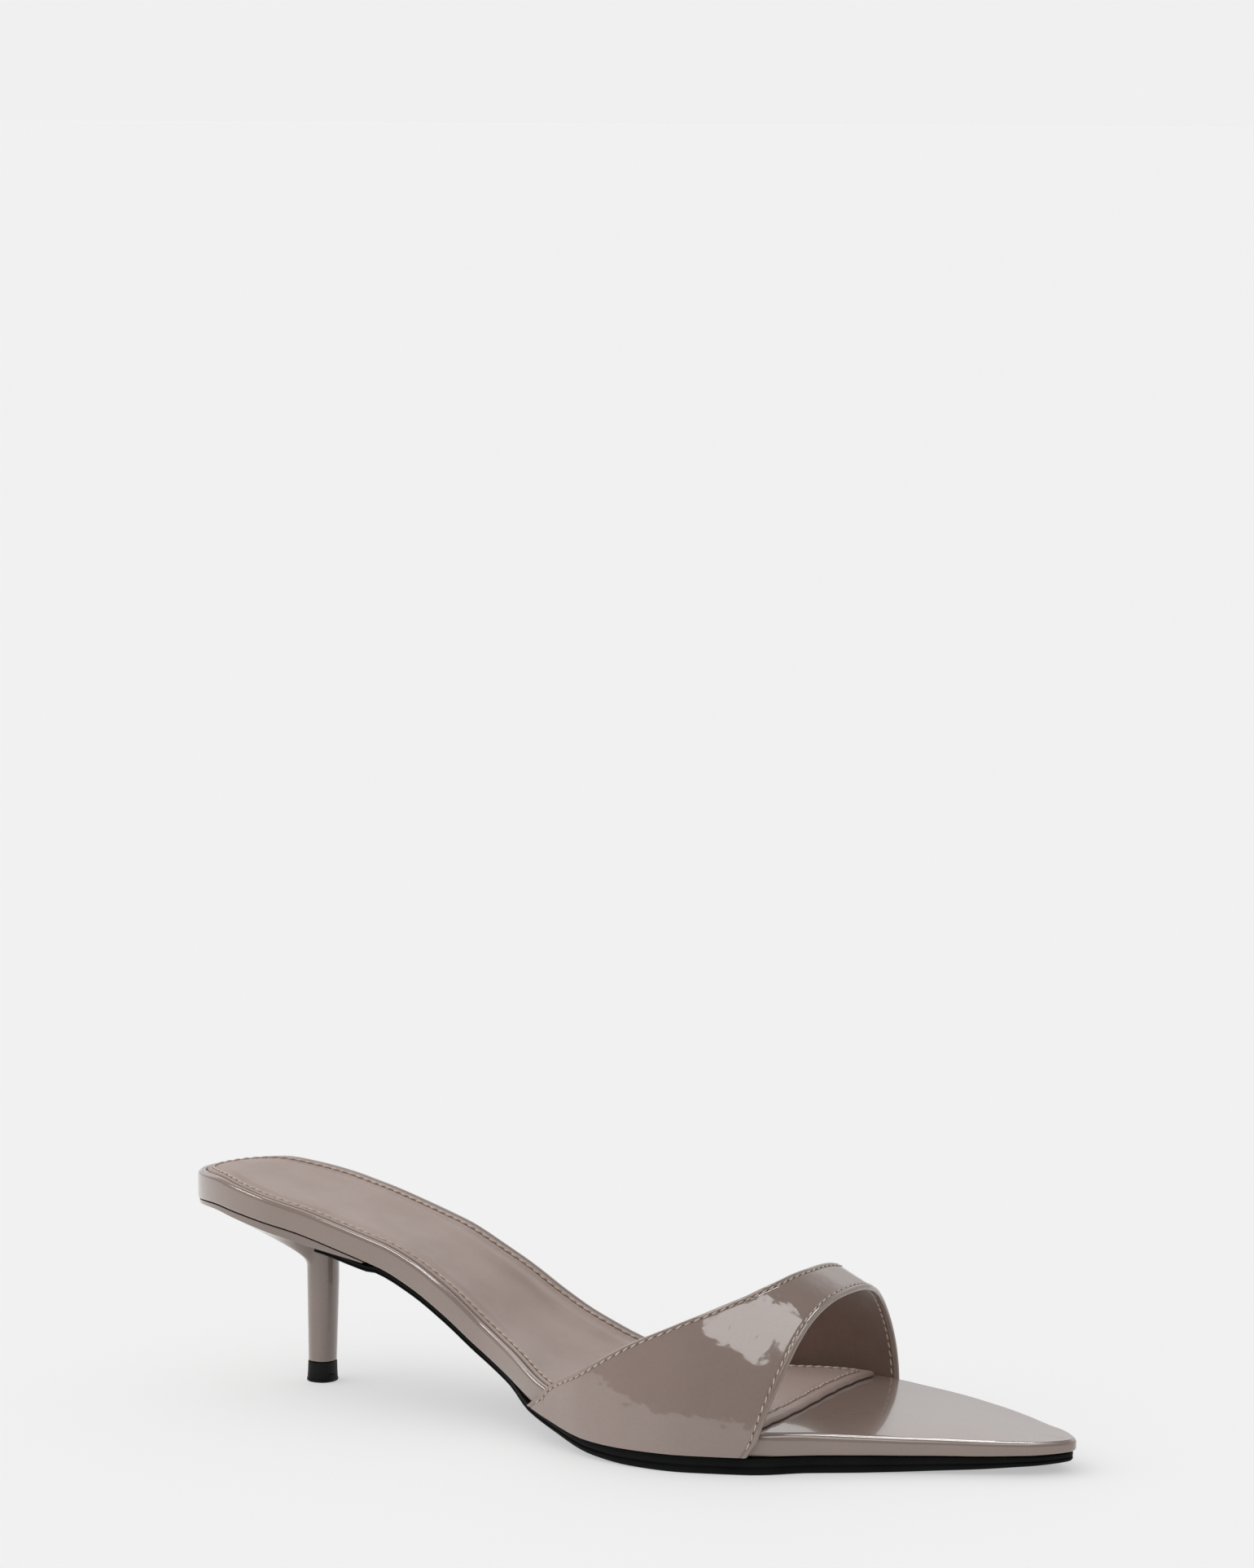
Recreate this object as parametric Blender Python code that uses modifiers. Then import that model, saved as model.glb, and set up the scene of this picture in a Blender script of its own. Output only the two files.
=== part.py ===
"""Mid heel mule: a pointed sole, one wide strap over the forefoot, open at toe and heel.

Metres, +Z up, the floor at z = 0. The shoe is drawn with its heel's back at x = 0, its
toe towards +X and the outer side of the foot towards -Y, so it is a right shoe. At the
end it is moved so that its plan is centred on the origin.

Every sole piece is a stack of rings. A ring runs once round the plan outline, drawn
in by a margin and laid on one of the height curves, so all pieces follow one last.
"""
import math
from typing import Callable, NamedTuple

import bmesh
import bpy

# Sizes that drive the last, in metres
LENGTH = 0.2484
TREAD_WIDTH = 0.0800
SEAT_WIDTH = 0.0452
HEEL_RISE = 0.0473
TOE_SPRING = 0.0028
SEAT_END_LENGTH = 0.14493 * LENGTH
TIP_LENGTH = 0.03221 * LENGTH

# Fullness of the plan's two rounded ends: 2 is an ellipse
SEAT_FULLNESS = 1.95
TIP_FULLNESS = 2.0

# Thicknesses, measured square to the surface they lie on
BOARD_THICKNESS = 0.0058
SOLE_TREAD_THICKNESS = 0.0042
SOLE_WAIST_THICKNESS = 0.0016
SOCK_THICKNESS = 0.0009
STRAP_THICKNESS = 0.0014

# Clearance that every pair of touching pieces keeps
GAP = 0.0003

# Edges and margins in plan
BOARD_EDGE_RADIUS = 0.0019
BOARD_LOWER_RADIUS = 0.0007
SOLE_MARGIN = 0.0008
SOLE_FLANGE = 0.0008
SOLE_EDGE_RADIUS = 0.0006
SOCK_MARGIN = 0.0025
SOCK_EDGE_RADIUS = 0.0008
FOOTBED_CUP = 0.0014
TOE_DOME = 0.0011

# Front edge of the sock, along the shoe
SOCK_FRONT_OUTER = 0.73752 * LENGTH
SOCK_FRONT_INNER = 0.71860 * LENGTH

# Foot's height over the board's rim at INSTEP_X, and its climb towards the ankle
INSTEP_X = 0.73913 * LENGTH
INSTEP_HEIGHT = 0.0332
INSTEP_CLIMB = 0.55
STRAP_FOOT_TURN = 15.0

# Heel: seat plate, saucer and stem; the cone under the saucer fades by shares of BREAST_X
BREAST_X = 0.17915 * LENGTH
HEEL_PLATE_REACH = 0.24597 * LENGTH
HEEL_PLATE_THICKNESS = 0.0021
PLATE_FEATHER = 0.0003
PLATE_LIP = 0.0008
TONGUE_RAMP = 0.00805 * LENGTH
TONGUE_MARGIN = 0.0030
TONGUE_CLEARANCE = 0.0005
FLANGE_BLEND = 0.04831 * LENGTH
HEEL_MARGIN = 0.0004
SAUCER_DEPTH = 0.0095
SAUCER_FILLET = 7.0
CONE_FADE_START = 0.45
CONE_FADE_LENGTH = 0.55
STEM_X = 0.14251 * LENGTH
STEM_LEAN = 0.0004
STEM_TOP_Z = 0.0270
STEM_LENGTH_TOP = 0.0083
STEM_WIDTH_TOP = 0.0077
STEM_LENGTH_FOOT = 0.0072
STEM_WIDTH_FOOT = 0.0072
STEM_CORNER = math.radians(130)
STEM_BREAST_FLATNESS = 0.72

# Heel tip, with its nub's place as shares of the stem's foot
TIP_PIECE_HEIGHT = 0.0052
TIP_PIECE_FLARE = 0.0003
TIP_PIECE_EDGE = 0.0003
TIP_NUB_REACH = 0.0007
TIP_NUB_HEIGHT = 0.0013
TIP_NUB_START = 0.25
TIP_NUB_SPREAD = 0.2

# Mesh fineness; SLOPE_REACH is a share of LENGTH, the next two are lengths
OUTLINE_STEPS = 46
FOOTBED_STEPS = 6
SOLE_STEPS = 2
STRAP_ROWS = 56
STRAP_COLUMNS = 12
SEAT_STEPS = 15
SAUCER_RINGS = 12
STEM_RINGS = 5
SAUCER_RING_SPREAD = 1.8
TOE_STATION_SPREAD = 0.92
SLOPE_REACH = 0.02
TANGENT_REACH = 0.0004
SAME_POINT = 1e-7
SHARP_ANGLE = math.radians(38)
RIM_TURNS = (0.0, math.radians(30), math.radians(60))
COLLECTION = "mid_heel_mule"


class Section(NamedTuple):
    """One cross-section of the last, as shares of the named sizes."""

    along: float
    centre: float
    seat: float
    tread: float
    rise: float
    spring: float
    sole: float
    board: float


# along: of LENGTH; centre: middle of the plan, of TREAD_WIDTH, towards the inner side
# seat, tread: half width, of SEAT_WIDTH and of TREAD_WIDTH, added together
# rise: ground line, of HEEL_RISE; spring: of TOE_SPRING
# sole: 0 at the waist's thickness, 1 at the tread's; board: of BOARD_THICKNESS
LAST = (
    Section(along=0.0, centre=0.0, seat=0.49, tread=0.0, rise=0.93, spring=0.0, sole=0.0, board=1.22),
    Section(along=0.055, centre=0.0, seat=0.497, tread=0.0, rise=0.9545, spring=0.0, sole=0.0, board=1.2),
    Section(along=0.089, centre=0.0, seat=0.5, tread=0.0, rise=0.936, spring=0.0, sole=0.0, board=1.12),
    Section(along=0.127, centre=0.0, seat=0.5, tread=0.0, rise=0.905, spring=0.0, sole=0.0, board=1.05),
    Section(along=0.167, centre=0.0, seat=0.49, tread=0.0, rise=0.865, spring=0.0, sole=0.0, board=1.0),
    Section(along=0.216, centre=0.0, seat=0.48, tread=0.0, rise=0.796, spring=0.0, sole=0.0, board=1.0),
    Section(along=0.246, centre=0.0, seat=0.472, tread=0.0, rise=0.75, spring=0.0, sole=0.0, board=1.0),
    Section(along=0.272, centre=0.0, seat=0.463, tread=0.0, rise=0.704, spring=0.0, sole=0.0, board=1.0),
    Section(along=0.3, centre=0.001, seat=0.46, tread=0.0, rise=0.632, spring=0.0, sole=0.0, board=1.0),
    Section(along=0.341, centre=0.003, seat=0.4, tread=0.043, rise=0.507, spring=0.0, sole=0.0, board=1.0),
    Section(along=0.385, centre=0.005, seat=0.29, tread=0.122, rise=0.358, spring=0.0, sole=0.02, board=1.0),
    Section(along=0.429, centre=-0.015, seat=0.17, tread=0.214, rise=0.243, spring=0.0, sole=0.08, board=1.0),
    Section(along=0.473, centre=-0.034, seat=0.07, tread=0.319, rise=0.138, spring=0.0, sole=0.16, board=1.0),
    Section(along=0.522, centre=-0.048, seat=0.0, tread=0.415, rise=0.067, spring=0.0, sole=0.4, board=1.0),
    Section(along=0.566, centre=-0.055, seat=0.0, tread=0.464, rise=0.022, spring=0.0, sole=0.68, board=1.0),
    Section(along=0.61, centre=-0.053, seat=0.0, tread=0.49, rise=0.004, spring=0.0, sole=0.92, board=1.0),
    Section(along=0.655, centre=-0.043, seat=0.0, tread=0.499, rise=0.0, spring=0.0, sole=1.0, board=1.0),
    Section(along=0.703, centre=-0.02, seat=0.0, tread=0.48, rise=0.0, spring=0.0, sole=1.0, board=0.98),
    Section(along=0.747, centre=0.002, seat=0.0, tread=0.445, rise=0.0, spring=0.0, sole=1.0, board=0.96),
    Section(along=0.783, centre=0.03, seat=0.0, tread=0.395, rise=0.0, spring=0.0, sole=1.0, board=0.9),
    Section(along=0.82, centre=0.052, seat=0.0, tread=0.35, rise=0.0, spring=0.03, sole=0.97, board=0.81),
    Section(along=0.848, centre=0.063, seat=0.0, tread=0.312, rise=0.0, spring=0.1, sole=0.88, board=0.76),
    Section(along=0.888, centre=0.067, seat=0.0, tread=0.252, rise=0.0, spring=0.27, sole=0.72, board=0.7),
    Section(along=0.924, centre=0.061, seat=0.0, tread=0.195, rise=0.0, spring=0.46, sole=0.54, board=0.65),
    Section(along=0.961, centre=0.053, seat=0.0, tread=0.128, rise=0.0, spring=0.72, sole=0.34, board=0.58),
    Section(along=1.001, centre=0.055, seat=0.0, tread=0.066, rise=0.0, spring=1.0, sole=0.18, board=0.48),
)


class Stretch(NamedTuple):
    """Stretch of the shoe over which a shape fades in or out, as shares of LENGTH."""

    start: float
    span: float


HOLLOW_RISE = Stretch(start=0.02, span=0.10)
HOLLOW_FALL = Stretch(start=0.42, span=0.24)
DOME_RISE = Stretch(start=0.62, span=0.20)
DOME_FALL = Stretch(start=0.86, span=0.14)


class StrapEdge(NamedTuple):
    """Where the strap's two edges cross one line over the foot."""

    turn: float
    back: float
    front: float


# turn: degrees round the foot from the outer side, 0 and 180 at the platform's rim
# and STRAP_FOOT_TURN beyond them at the outsole; back, front: of LENGTH
STRAP_EDGES = (
    StrapEdge(turn=-15, back=0.471, front=0.7299),
    StrapEdge(turn=0, back=0.490, front=0.7391),
    StrapEdge(turn=11, back=0.546, front=0.7456),
    StrapEdge(turn=21, back=0.592, front=0.7504),
    StrapEdge(turn=34, back=0.645, front=0.7544),
    StrapEdge(turn=45, back=0.676, front=0.7560),
    StrapEdge(turn=58, back=0.700, front=0.7572),
    StrapEdge(turn=73, back=0.714, front=0.7589),
    StrapEdge(turn=90, back=0.720, front=0.7607),
    StrapEdge(turn=107, back=0.717, front=0.7576),
    StrapEdge(turn=122, back=0.704, front=0.7511),
    StrapEdge(turn=135, back=0.681, front=0.7450),
    StrapEdge(turn=146, back=0.651, front=0.7415),
    StrapEdge(turn=159, back=0.601, front=0.7399),
    StrapEdge(turn=169, back=0.554, front=0.7395),
    StrapEdge(turn=180, back=0.506, front=0.7395),
    StrapEdge(turn=195, back=0.477, front=0.7383),
)


class Finish(NamedTuple):
    """Colour in linear values, with roughness and clear coat, for one material."""

    colour: tuple
    roughness: float
    coat: float


PATENT = Finish(colour=(0.262, 0.207, 0.181), roughness=0.28, coat=1.0)
LACQUER = Finish(colour=(0.215, 0.168, 0.146), roughness=0.30, coat=0.8)
SOCK_CLOTH = Finish(colour=(0.402, 0.302, 0.258), roughness=0.75, coat=0.0)
SOLE_RUBBER = Finish(colour=(0.012, 0.013, 0.014), roughness=0.55, coat=0.0)


def smooth_between(places: list, values: list, at: float) -> float:
    """Read a value between listed places, along a smooth curve that never overshoots."""
    last = len(places) - 1
    at = min(max(at, places[0]), places[last])
    k = max(i for i in range(last) if places[i] <= at)

    def slope(i: int) -> float:
        near = min(max(i, 1), last)
        before = (values[near] - values[near - 1]) / (places[near] - places[near - 1])
        if i in (0, last):
            return before
        after = (values[i + 1] - values[i]) / (places[i + 1] - places[i])
        if before * after <= 0.0:
            return 0.0
        return 2.0 * before * after / (before + after)

    span = places[k + 1] - places[k]
    t = (at - places[k]) / span
    rise = values[k + 1] - values[k]
    start = slope(k) * span
    end = slope(k + 1) * span
    return values[k] + t * (start + t * (3.0 * rise - 2.0 * start - end + t * (start + end - 2.0 * rise)))


def column_at(column: str, along: float) -> float:
    """Read one column of the last at a share of the length."""
    places = [section.along for section in LAST]
    values = [getattr(section, column) for section in LAST]
    return smooth_between(places, values, along)


def ease(t: float) -> float:
    """Smooth step from 0 to 1 for t between 0 and 1."""
    t = min(max(t, 0.0), 1.0)
    return t * t * (3.0 - 2.0 * t)


def passed(stretch: Stretch, x: float) -> float:
    """How much of a stretch lies behind x, from 0 to 1."""
    return ease((x / LENGTH - stretch.start) / stretch.span)


def ground(x: float) -> float:
    """Height of the outsole's underside above the floor."""
    along = x / LENGTH
    return HEEL_RISE * column_at("rise", along) + TOE_SPRING * column_at("spring", along)


def slant(x: float) -> float:
    """Length of the sole line for one unit of x, where it climbs to the heel."""
    step = SLOPE_REACH * LENGTH
    fall = (ground(min(x + step, LENGTH)) - ground(max(x - step, 0.0))) / (2.0 * step)
    return math.hypot(1.0, fall)


def sole_thickness(x: float) -> float:
    """Thickness of the outsole, from the thin waist to the thick tread."""
    share = column_at("sole", x / LENGTH)
    return SOLE_WAIST_THICKNESS + (SOLE_TREAD_THICKNESS - SOLE_WAIST_THICKNESS) * share


def board_bottom(x: float) -> float:
    """Height of the platform's underside."""
    return ground(x) + sole_thickness(x) * slant(x) + GAP


def board_top(x: float) -> float:
    """Height of the platform's upper rim."""
    return board_bottom(x) + BOARD_THICKNESS * column_at("board", x / LENGTH) * slant(x)


def edge_radius(x: float) -> float:
    """Radius of the platform's upper rim, smaller where the toe is thinner."""
    return BOARD_EDGE_RADIUS * column_at("board", x / LENGTH)


def half_width(x: float) -> float:
    """Half the plan width of the platform, rounded off at both ends."""
    along = x / LENGTH
    width = SEAT_WIDTH * column_at("seat", along) + TREAD_WIDTH * column_at("tread", along)
    seat_end = min(1.0, x / SEAT_END_LENGTH)
    tip = min(1.0, (LENGTH - x) / TIP_LENGTH)
    seat_round = (1.0 - (1.0 - seat_end) ** SEAT_FULLNESS) ** (1.0 / SEAT_FULLNESS)
    tip_round = (1.0 - (1.0 - tip) ** TIP_FULLNESS) ** (1.0 / TIP_FULLNESS)
    return width * seat_round * tip_round


def centre_line(x: float) -> float:
    """Middle of the plan, which bends with the foot."""
    return TREAD_WIDTH * column_at("centre", x / LENGTH)


def side_point(x: float, side: int, margin: float = 0.0) -> tuple:
    """Point of the outline at x, drawn in by a margin square to the outline.

    Args:
        x: place along the shoe.
        side: -1 on the outer side, +1 on the inner side.
        margin: distance inwards; a negative one goes outwards.
    """
    ahead = min(x + TANGENT_REACH, LENGTH)
    behind = max(x - TANGENT_REACH, 0.0)
    run = ahead - behind
    drift = (centre_line(ahead) - centre_line(behind)) + side * (half_width(ahead) - half_width(behind))
    tangent = math.hypot(run, drift)
    if x <= 0.0:
        return (x + margin, centre_line(x))
    if x >= LENGTH:
        return (x - margin, centre_line(x))
    y = centre_line(x) + side * half_width(x)
    return (x + side * margin * drift / tangent, y - side * margin * run / tangent)


def stations(count: int) -> list:
    """Places along the shoe, close together at both rounded ends."""
    return [0.5 * LENGTH * (1.0 - math.cos(math.pi * k / count)) for k in range(count + 1)]


def plan(places: list, margin: Callable) -> list:
    """Pairs of outline points, outer and inner, one pair at each station.

    Args:
        places: pairs of x, for the outer and for the inner side.
        margin: margin in plan at x and side.
    """
    return [
        (side_point(outer, -1, margin(outer, -1)), side_point(inner, 1, margin(inner, 1)))
        for outer, inner in places
    ]


def rungs_between(pairs: list, steps: int, height: Callable) -> list:
    """Cross strips of points between the pairs of a plan.

    Args:
        pairs: outer and inner points; a pair that coincides is a rounded end.
        steps: stretches across one strip.
        height: height at x and at the share of the way across.
    """
    rungs = []
    for outer, inner in pairs:
        if math.dist(outer, inner) < SAME_POINT:
            rungs.append([(outer[0], outer[1], height(outer[0], 0.0))])
            continue
        rung = []
        for j in range(steps + 1):
            share = j / steps
            x = outer[0] + (inner[0] - outer[0]) * share
            y = outer[1] + (inner[1] - outer[1]) * share
            rung.append((x, y, height(x, share)))
        rungs.append(rung)
    return rungs


def rim(rungs: list) -> list:
    """Walk round the edge of the strips: outer side, front end, inner side, back end."""
    outer = [rung[0] for rung in rungs]
    front = rungs[-1][1:-1]
    inner = [rung[-1] for rung in rungs[::-1] if len(rung) > 1]
    back = rungs[0][-2:0:-1]
    return outer + front + inner + back


def add_rungs(mesh: bmesh.types.BMesh, rungs: list) -> list:
    """Put the strips' points into the mesh."""
    return [[mesh.verts.new(point) for point in rung] for rung in rungs]


def add_ring(mesh: bmesh.types.BMesh, points: list) -> list:
    """Put one ring of points into the mesh."""
    return [mesh.verts.new(point) for point in points]


def skin(mesh: bmesh.types.BMesh, rungs: list) -> None:
    """Cover neighbouring strips with faces."""
    for back, front in zip(rungs, rungs[1:]):
        steps = max(len(back), len(front)) - 1
        for j in range(steps):
            corners = (
                back[min(j, len(back) - 1)],
                front[min(j, len(front) - 1)],
                front[min(j + 1, len(front) - 1)],
                back[min(j + 1, len(back) - 1)],
            )
            mesh.faces.new(list(dict.fromkeys(corners)))


def bridge(mesh: bmesh.types.BMesh, lower: list, upper: list) -> None:
    """Join two rings of the same count with a band of four-sided faces."""
    count = len(lower)
    for k in range(count):
        after = (k + 1) % count
        mesh.faces.new((lower[k], lower[after], upper[after], upper[k]))


def close_stack(mesh: bmesh.types.BMesh, bottom: list, middle: list, top: list) -> None:
    """Close a solid from its underside, the rings of its side wall and its upper side."""
    lower = add_rungs(mesh, bottom)
    upper = add_rungs(mesh, top)
    rings = [rim(lower)] + [add_ring(mesh, points) for points in middle] + [rim(upper)]
    for below, above in zip(rings, rings[1:]):
        bridge(mesh, below, above)
    skin(mesh, lower)
    skin(mesh, upper)


def shoe_collection() -> bpy.types.Collection:
    """Collection that holds the shoe's pieces."""
    found = bpy.data.collections.get(COLLECTION)
    if found is None:
        found = bpy.data.collections.new(COLLECTION)
        bpy.context.scene.collection.children.link(found)
    return found


def principled(name: str, finish: Finish) -> bpy.types.Material:
    """Plain Principled material of one piece."""
    material = bpy.data.materials.new(name)
    material.use_nodes = True
    shader = material.node_tree.nodes["Principled BSDF"]
    shader.inputs["Base Color"].default_value = (*finish.colour, 1.0)
    shader.inputs["Roughness"].default_value = finish.roughness
    shader.inputs["Coat Weight"].default_value = finish.coat
    return material


def finish_mesh(name: str, mesh: bmesh.types.BMesh, finish: Finish) -> bpy.types.Object:
    """Turn the mesh into a smooth object with its own material."""
    bmesh.ops.recalc_face_normals(mesh, faces=mesh.faces)
    data = bpy.data.meshes.new(name)
    mesh.to_mesh(data)
    mesh.free()
    data.shade_smooth()
    data.set_sharp_from_angle(angle=SHARP_ANGLE)
    data.materials.append(principled(name, finish))
    piece = bpy.data.objects.new(name, data)
    shoe_collection().objects.link(piece)
    return piece


def footbed_dish(x: float) -> float:
    """Depth of the footbed's middle under its rim: hollow at the heel, domed at the toe."""
    hollow = passed(HOLLOW_RISE, x) - passed(HOLLOW_FALL, x)
    dome = passed(DOME_RISE, x) - passed(DOME_FALL, x)
    return FOOTBED_CUP * hollow - TOE_DOME * dome


def footbed(x: float, share: float) -> float:
    """Height of the platform's top at a share of the way across."""
    return board_top(x) - footbed_dish(x) * (1.0 - (2.0 * share - 1.0) ** 2)


def build_platform() -> bpy.types.Object:
    """Insole board wrapped in patent: upright sides, a rounded rim and the toe's top."""
    places = [(x, x) for x in stations(OUTLINE_STEPS)]

    def level(margin: Callable, height: Callable) -> list:
        pairs = plan(places, lambda x, side: margin(x))
        return rungs_between(pairs, FOOTBED_STEPS, height)

    def rounded(turn: float) -> list:
        inward = 1.0 - math.cos(turn)
        down = 1.0 - math.sin(turn)
        return rim(level(lambda x: inward * edge_radius(x), lambda x, share: board_top(x) - down * edge_radius(x)))

    mesh = bmesh.new()
    foot = rim(level(lambda x: 0.0, lambda x, share: board_bottom(x) + BOARD_LOWER_RADIUS))
    middle = [foot] + [rounded(turn) for turn in RIM_TURNS]
    bottom = level(lambda x: BOARD_LOWER_RADIUS, lambda x, share: board_bottom(x))
    close_stack(mesh, bottom, middle, level(edge_radius, footbed))
    return finish_mesh("platform", mesh, PATENT)


def plate_thickness(x: float) -> float:
    """Thickness of the heel's seat plate: a thin lip behind, full at the breast, a feather in front."""
    if x < BREAST_X:
        return PLATE_LIP + (HEEL_PLATE_THICKNESS - PLATE_LIP) * ease(x / BREAST_X)
    share = (HEEL_PLATE_REACH - x) / (HEEL_PLATE_REACH - BREAST_X)
    return PLATE_FEATHER + (HEEL_PLATE_THICKNESS - PLATE_FEATHER) * max(share, 0.0)


def tongue_drop(x: float) -> float:
    """How far the outsole dives to pass under the heel's seat plate."""
    ramp = ease((HEEL_PLATE_REACH + TONGUE_RAMP - x) / (TONGUE_RAMP - GAP))
    return (plate_thickness(x) + TONGUE_CLEARANCE) * ramp


def sole_margin(x: float, side: int) -> float:
    """Margin of the outsole: set back at waist and toe, out under the strap, in at the tongue."""
    foot = STRAP_EDGES[0] if side < 0 else STRAP_EDGES[-1]
    back = foot.back * LENGTH
    front = foot.front * LENGTH
    under_strap = ease((x - back + FLANGE_BLEND) / FLANGE_BLEND) * (1.0 - ease((x - front) / FLANGE_BLEND))
    tongue = 1.0 - ease((x - BREAST_X) / (HEEL_PLATE_REACH + TONGUE_RAMP - BREAST_X))
    return SOLE_MARGIN - (SOLE_MARGIN + SOLE_FLANGE) * under_strap + TONGUE_MARGIN * tongue


def build_outsole() -> bpy.types.Object:
    """Rubber sole from the heel breast to the toe."""
    back = BREAST_X + TONGUE_CLEARANCE
    shares = [k / OUTLINE_STEPS for k in range(OUTLINE_STEPS + 1)]
    reaches = [math.sin(0.5 * math.pi * share) ** TOE_STATION_SPREAD for share in shares]
    places = [(back + (LENGTH - back) * reach,) * 2 for reach in reaches]

    def top(x: float) -> float:
        return board_bottom(x) - GAP - tongue_drop(x)

    def bottom(x: float) -> float:
        return ground(x) - tongue_drop(x)

    def level(extra: float, height: Callable) -> list:
        pairs = plan(places, lambda x, side: sole_margin(x, side) + extra)
        return rungs_between(pairs, SOLE_STEPS, lambda x, share: height(x))

    mesh = bmesh.new()
    middle = [
        rim(level(0.0, lambda x: bottom(x) + SOLE_EDGE_RADIUS)),
        rim(level(0.0, lambda x: top(x) - 0.5 * SOLE_EDGE_RADIUS)),
    ]
    close_stack(mesh, level(SOLE_EDGE_RADIUS, bottom), middle, level(0.5 * SOLE_EDGE_RADIUS, top))
    return finish_mesh("outsole", mesh, SOLE_RUBBER)


def build_insole() -> bpy.types.Object:
    """Padded sock on the footbed, cut across under the strap's front edge."""
    turns = [0.5 * math.pi * k / OUTLINE_STEPS for k in range(OUTLINE_STEPS + 1)]

    def level(extra: float, lift: float) -> list:
        outer = SOCK_FRONT_OUTER - extra
        inner = SOCK_FRONT_INNER - extra
        places = [(outer * (1.0 - math.cos(turn)), inner * (1.0 - math.cos(turn))) for turn in turns]
        margin = SOCK_MARGIN + extra
        pairs = plan(places, lambda x, side: margin)

        def height(x: float, share: float) -> float:
            edge = (margin - edge_radius(x)) / max(2.0 * half_width(x), 2.0 * margin)
            across = edge + (1.0 - 2.0 * edge) * share
            return footbed(x, across) + lift * slant(x)

        return rungs_between(pairs, FOOTBED_STEPS, height)

    mesh = bmesh.new()
    middle = [rim(level(0.0, GAP + 0.5 * SOCK_THICKNESS))]
    close_stack(mesh, level(0.0, GAP), middle, level(SOCK_EDGE_RADIUS, GAP + SOCK_THICKNESS))
    return finish_mesh("insole", mesh, SOCK_CLOTH)


def strap_point(turn: float, column: float) -> tuple:
    """Middle of the strap's leather, which follows the foot's surface.

    Args:
        turn: degrees round the foot, as in STRAP_EDGES.
        column: 0 at the back edge, 1 at the front edge.
    """
    turns = [edge.turn for edge in STRAP_EDGES]
    back = smooth_between(turns, [edge.back for edge in STRAP_EDGES], turn)
    front = smooth_between(turns, [edge.front for edge in STRAP_EDGES], turn)
    x = LENGTH * (back + (front - back) * column)
    side = -1 if turn < 90.0 else 1
    foot_x, foot_y = side_point(x, side, -(GAP + 0.5 * STRAP_THICKNESS))
    shoulder = board_top(x) - edge_radius(x)
    below = max(-turn, turn - 180.0, 0.0) / STRAP_FOOT_TURN
    if below > 0.0:
        return (foot_x, foot_y, shoulder + (board_bottom(x) - shoulder) * below)
    height = INSTEP_HEIGHT + INSTEP_CLIMB * (INSTEP_X - x)
    middle = centre_line(x)
    away = abs(math.cos(math.radians(turn)))
    lift = math.sin(math.radians(turn))
    return (x + (foot_x - x) * away, middle + (foot_y - middle) * away, shoulder + height * lift)


def build_upper() -> bpy.types.Object:
    """One wide strap, a hollow shell lasted down over the platform's sides."""
    mesh = bmesh.new()
    sweep = 180.0 + 2.0 * STRAP_FOOT_TURN
    turns = [sweep * j / STRAP_ROWS - STRAP_FOOT_TURN for j in range(STRAP_ROWS + 1)]
    columns = [k / STRAP_COLUMNS for k in range(STRAP_COLUMNS + 1)]
    skin(mesh, add_rungs(mesh, [[strap_point(turn, column) for column in columns] for turn in turns]))
    piece = finish_mesh("upper", mesh, PATENT)
    shell = piece.modifiers.new("leather", "SOLIDIFY")
    shell.thickness = STRAP_THICKNESS
    shell.offset = 0.0
    return piece


def stem_ring(length: float, width: float, height: float) -> list:
    """Rounded D round the stem's axis: round at the back, flatter at the breast.

    Args:
        length: size along x.
        width: size along y.
        height: height above the floor.
    """
    axis = STEM_X + STEM_LEAN * height / STEM_TOP_Z
    side_turns = [STEM_CORNER * k / SEAT_STEPS for k in range(SEAT_STEPS + 1)]
    front_turns = [STEM_CORNER + (math.pi - STEM_CORNER) * 2.0 * j / FOOTBED_STEPS for j in range(1, FOOTBED_STEPS)]
    turns = side_turns + front_turns + [2.0 * math.pi - turn for turn in side_turns[:0:-1]]
    points = []
    for turn in turns:
        forward = -math.cos(turn)
        bow = forward if forward < 0.0 else forward ** STEM_BREAST_FLATNESS
        points.append((axis + 0.5 * length * bow, -0.5 * width * math.sin(turn), height))
    return points


def heel_plate(extra: float) -> list:
    """Pairs of plan points of the heel's seat plate, from the back to its front edge."""
    turns = [0.5 * math.pi * k / SEAT_STEPS for k in range(SEAT_STEPS + 1)]
    places = [HEEL_PLATE_REACH * (1.0 - math.cos(turn)) for turn in turns]
    return plan([(x, x) for x in places], lambda x, side: HEEL_MARGIN + extra)


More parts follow.
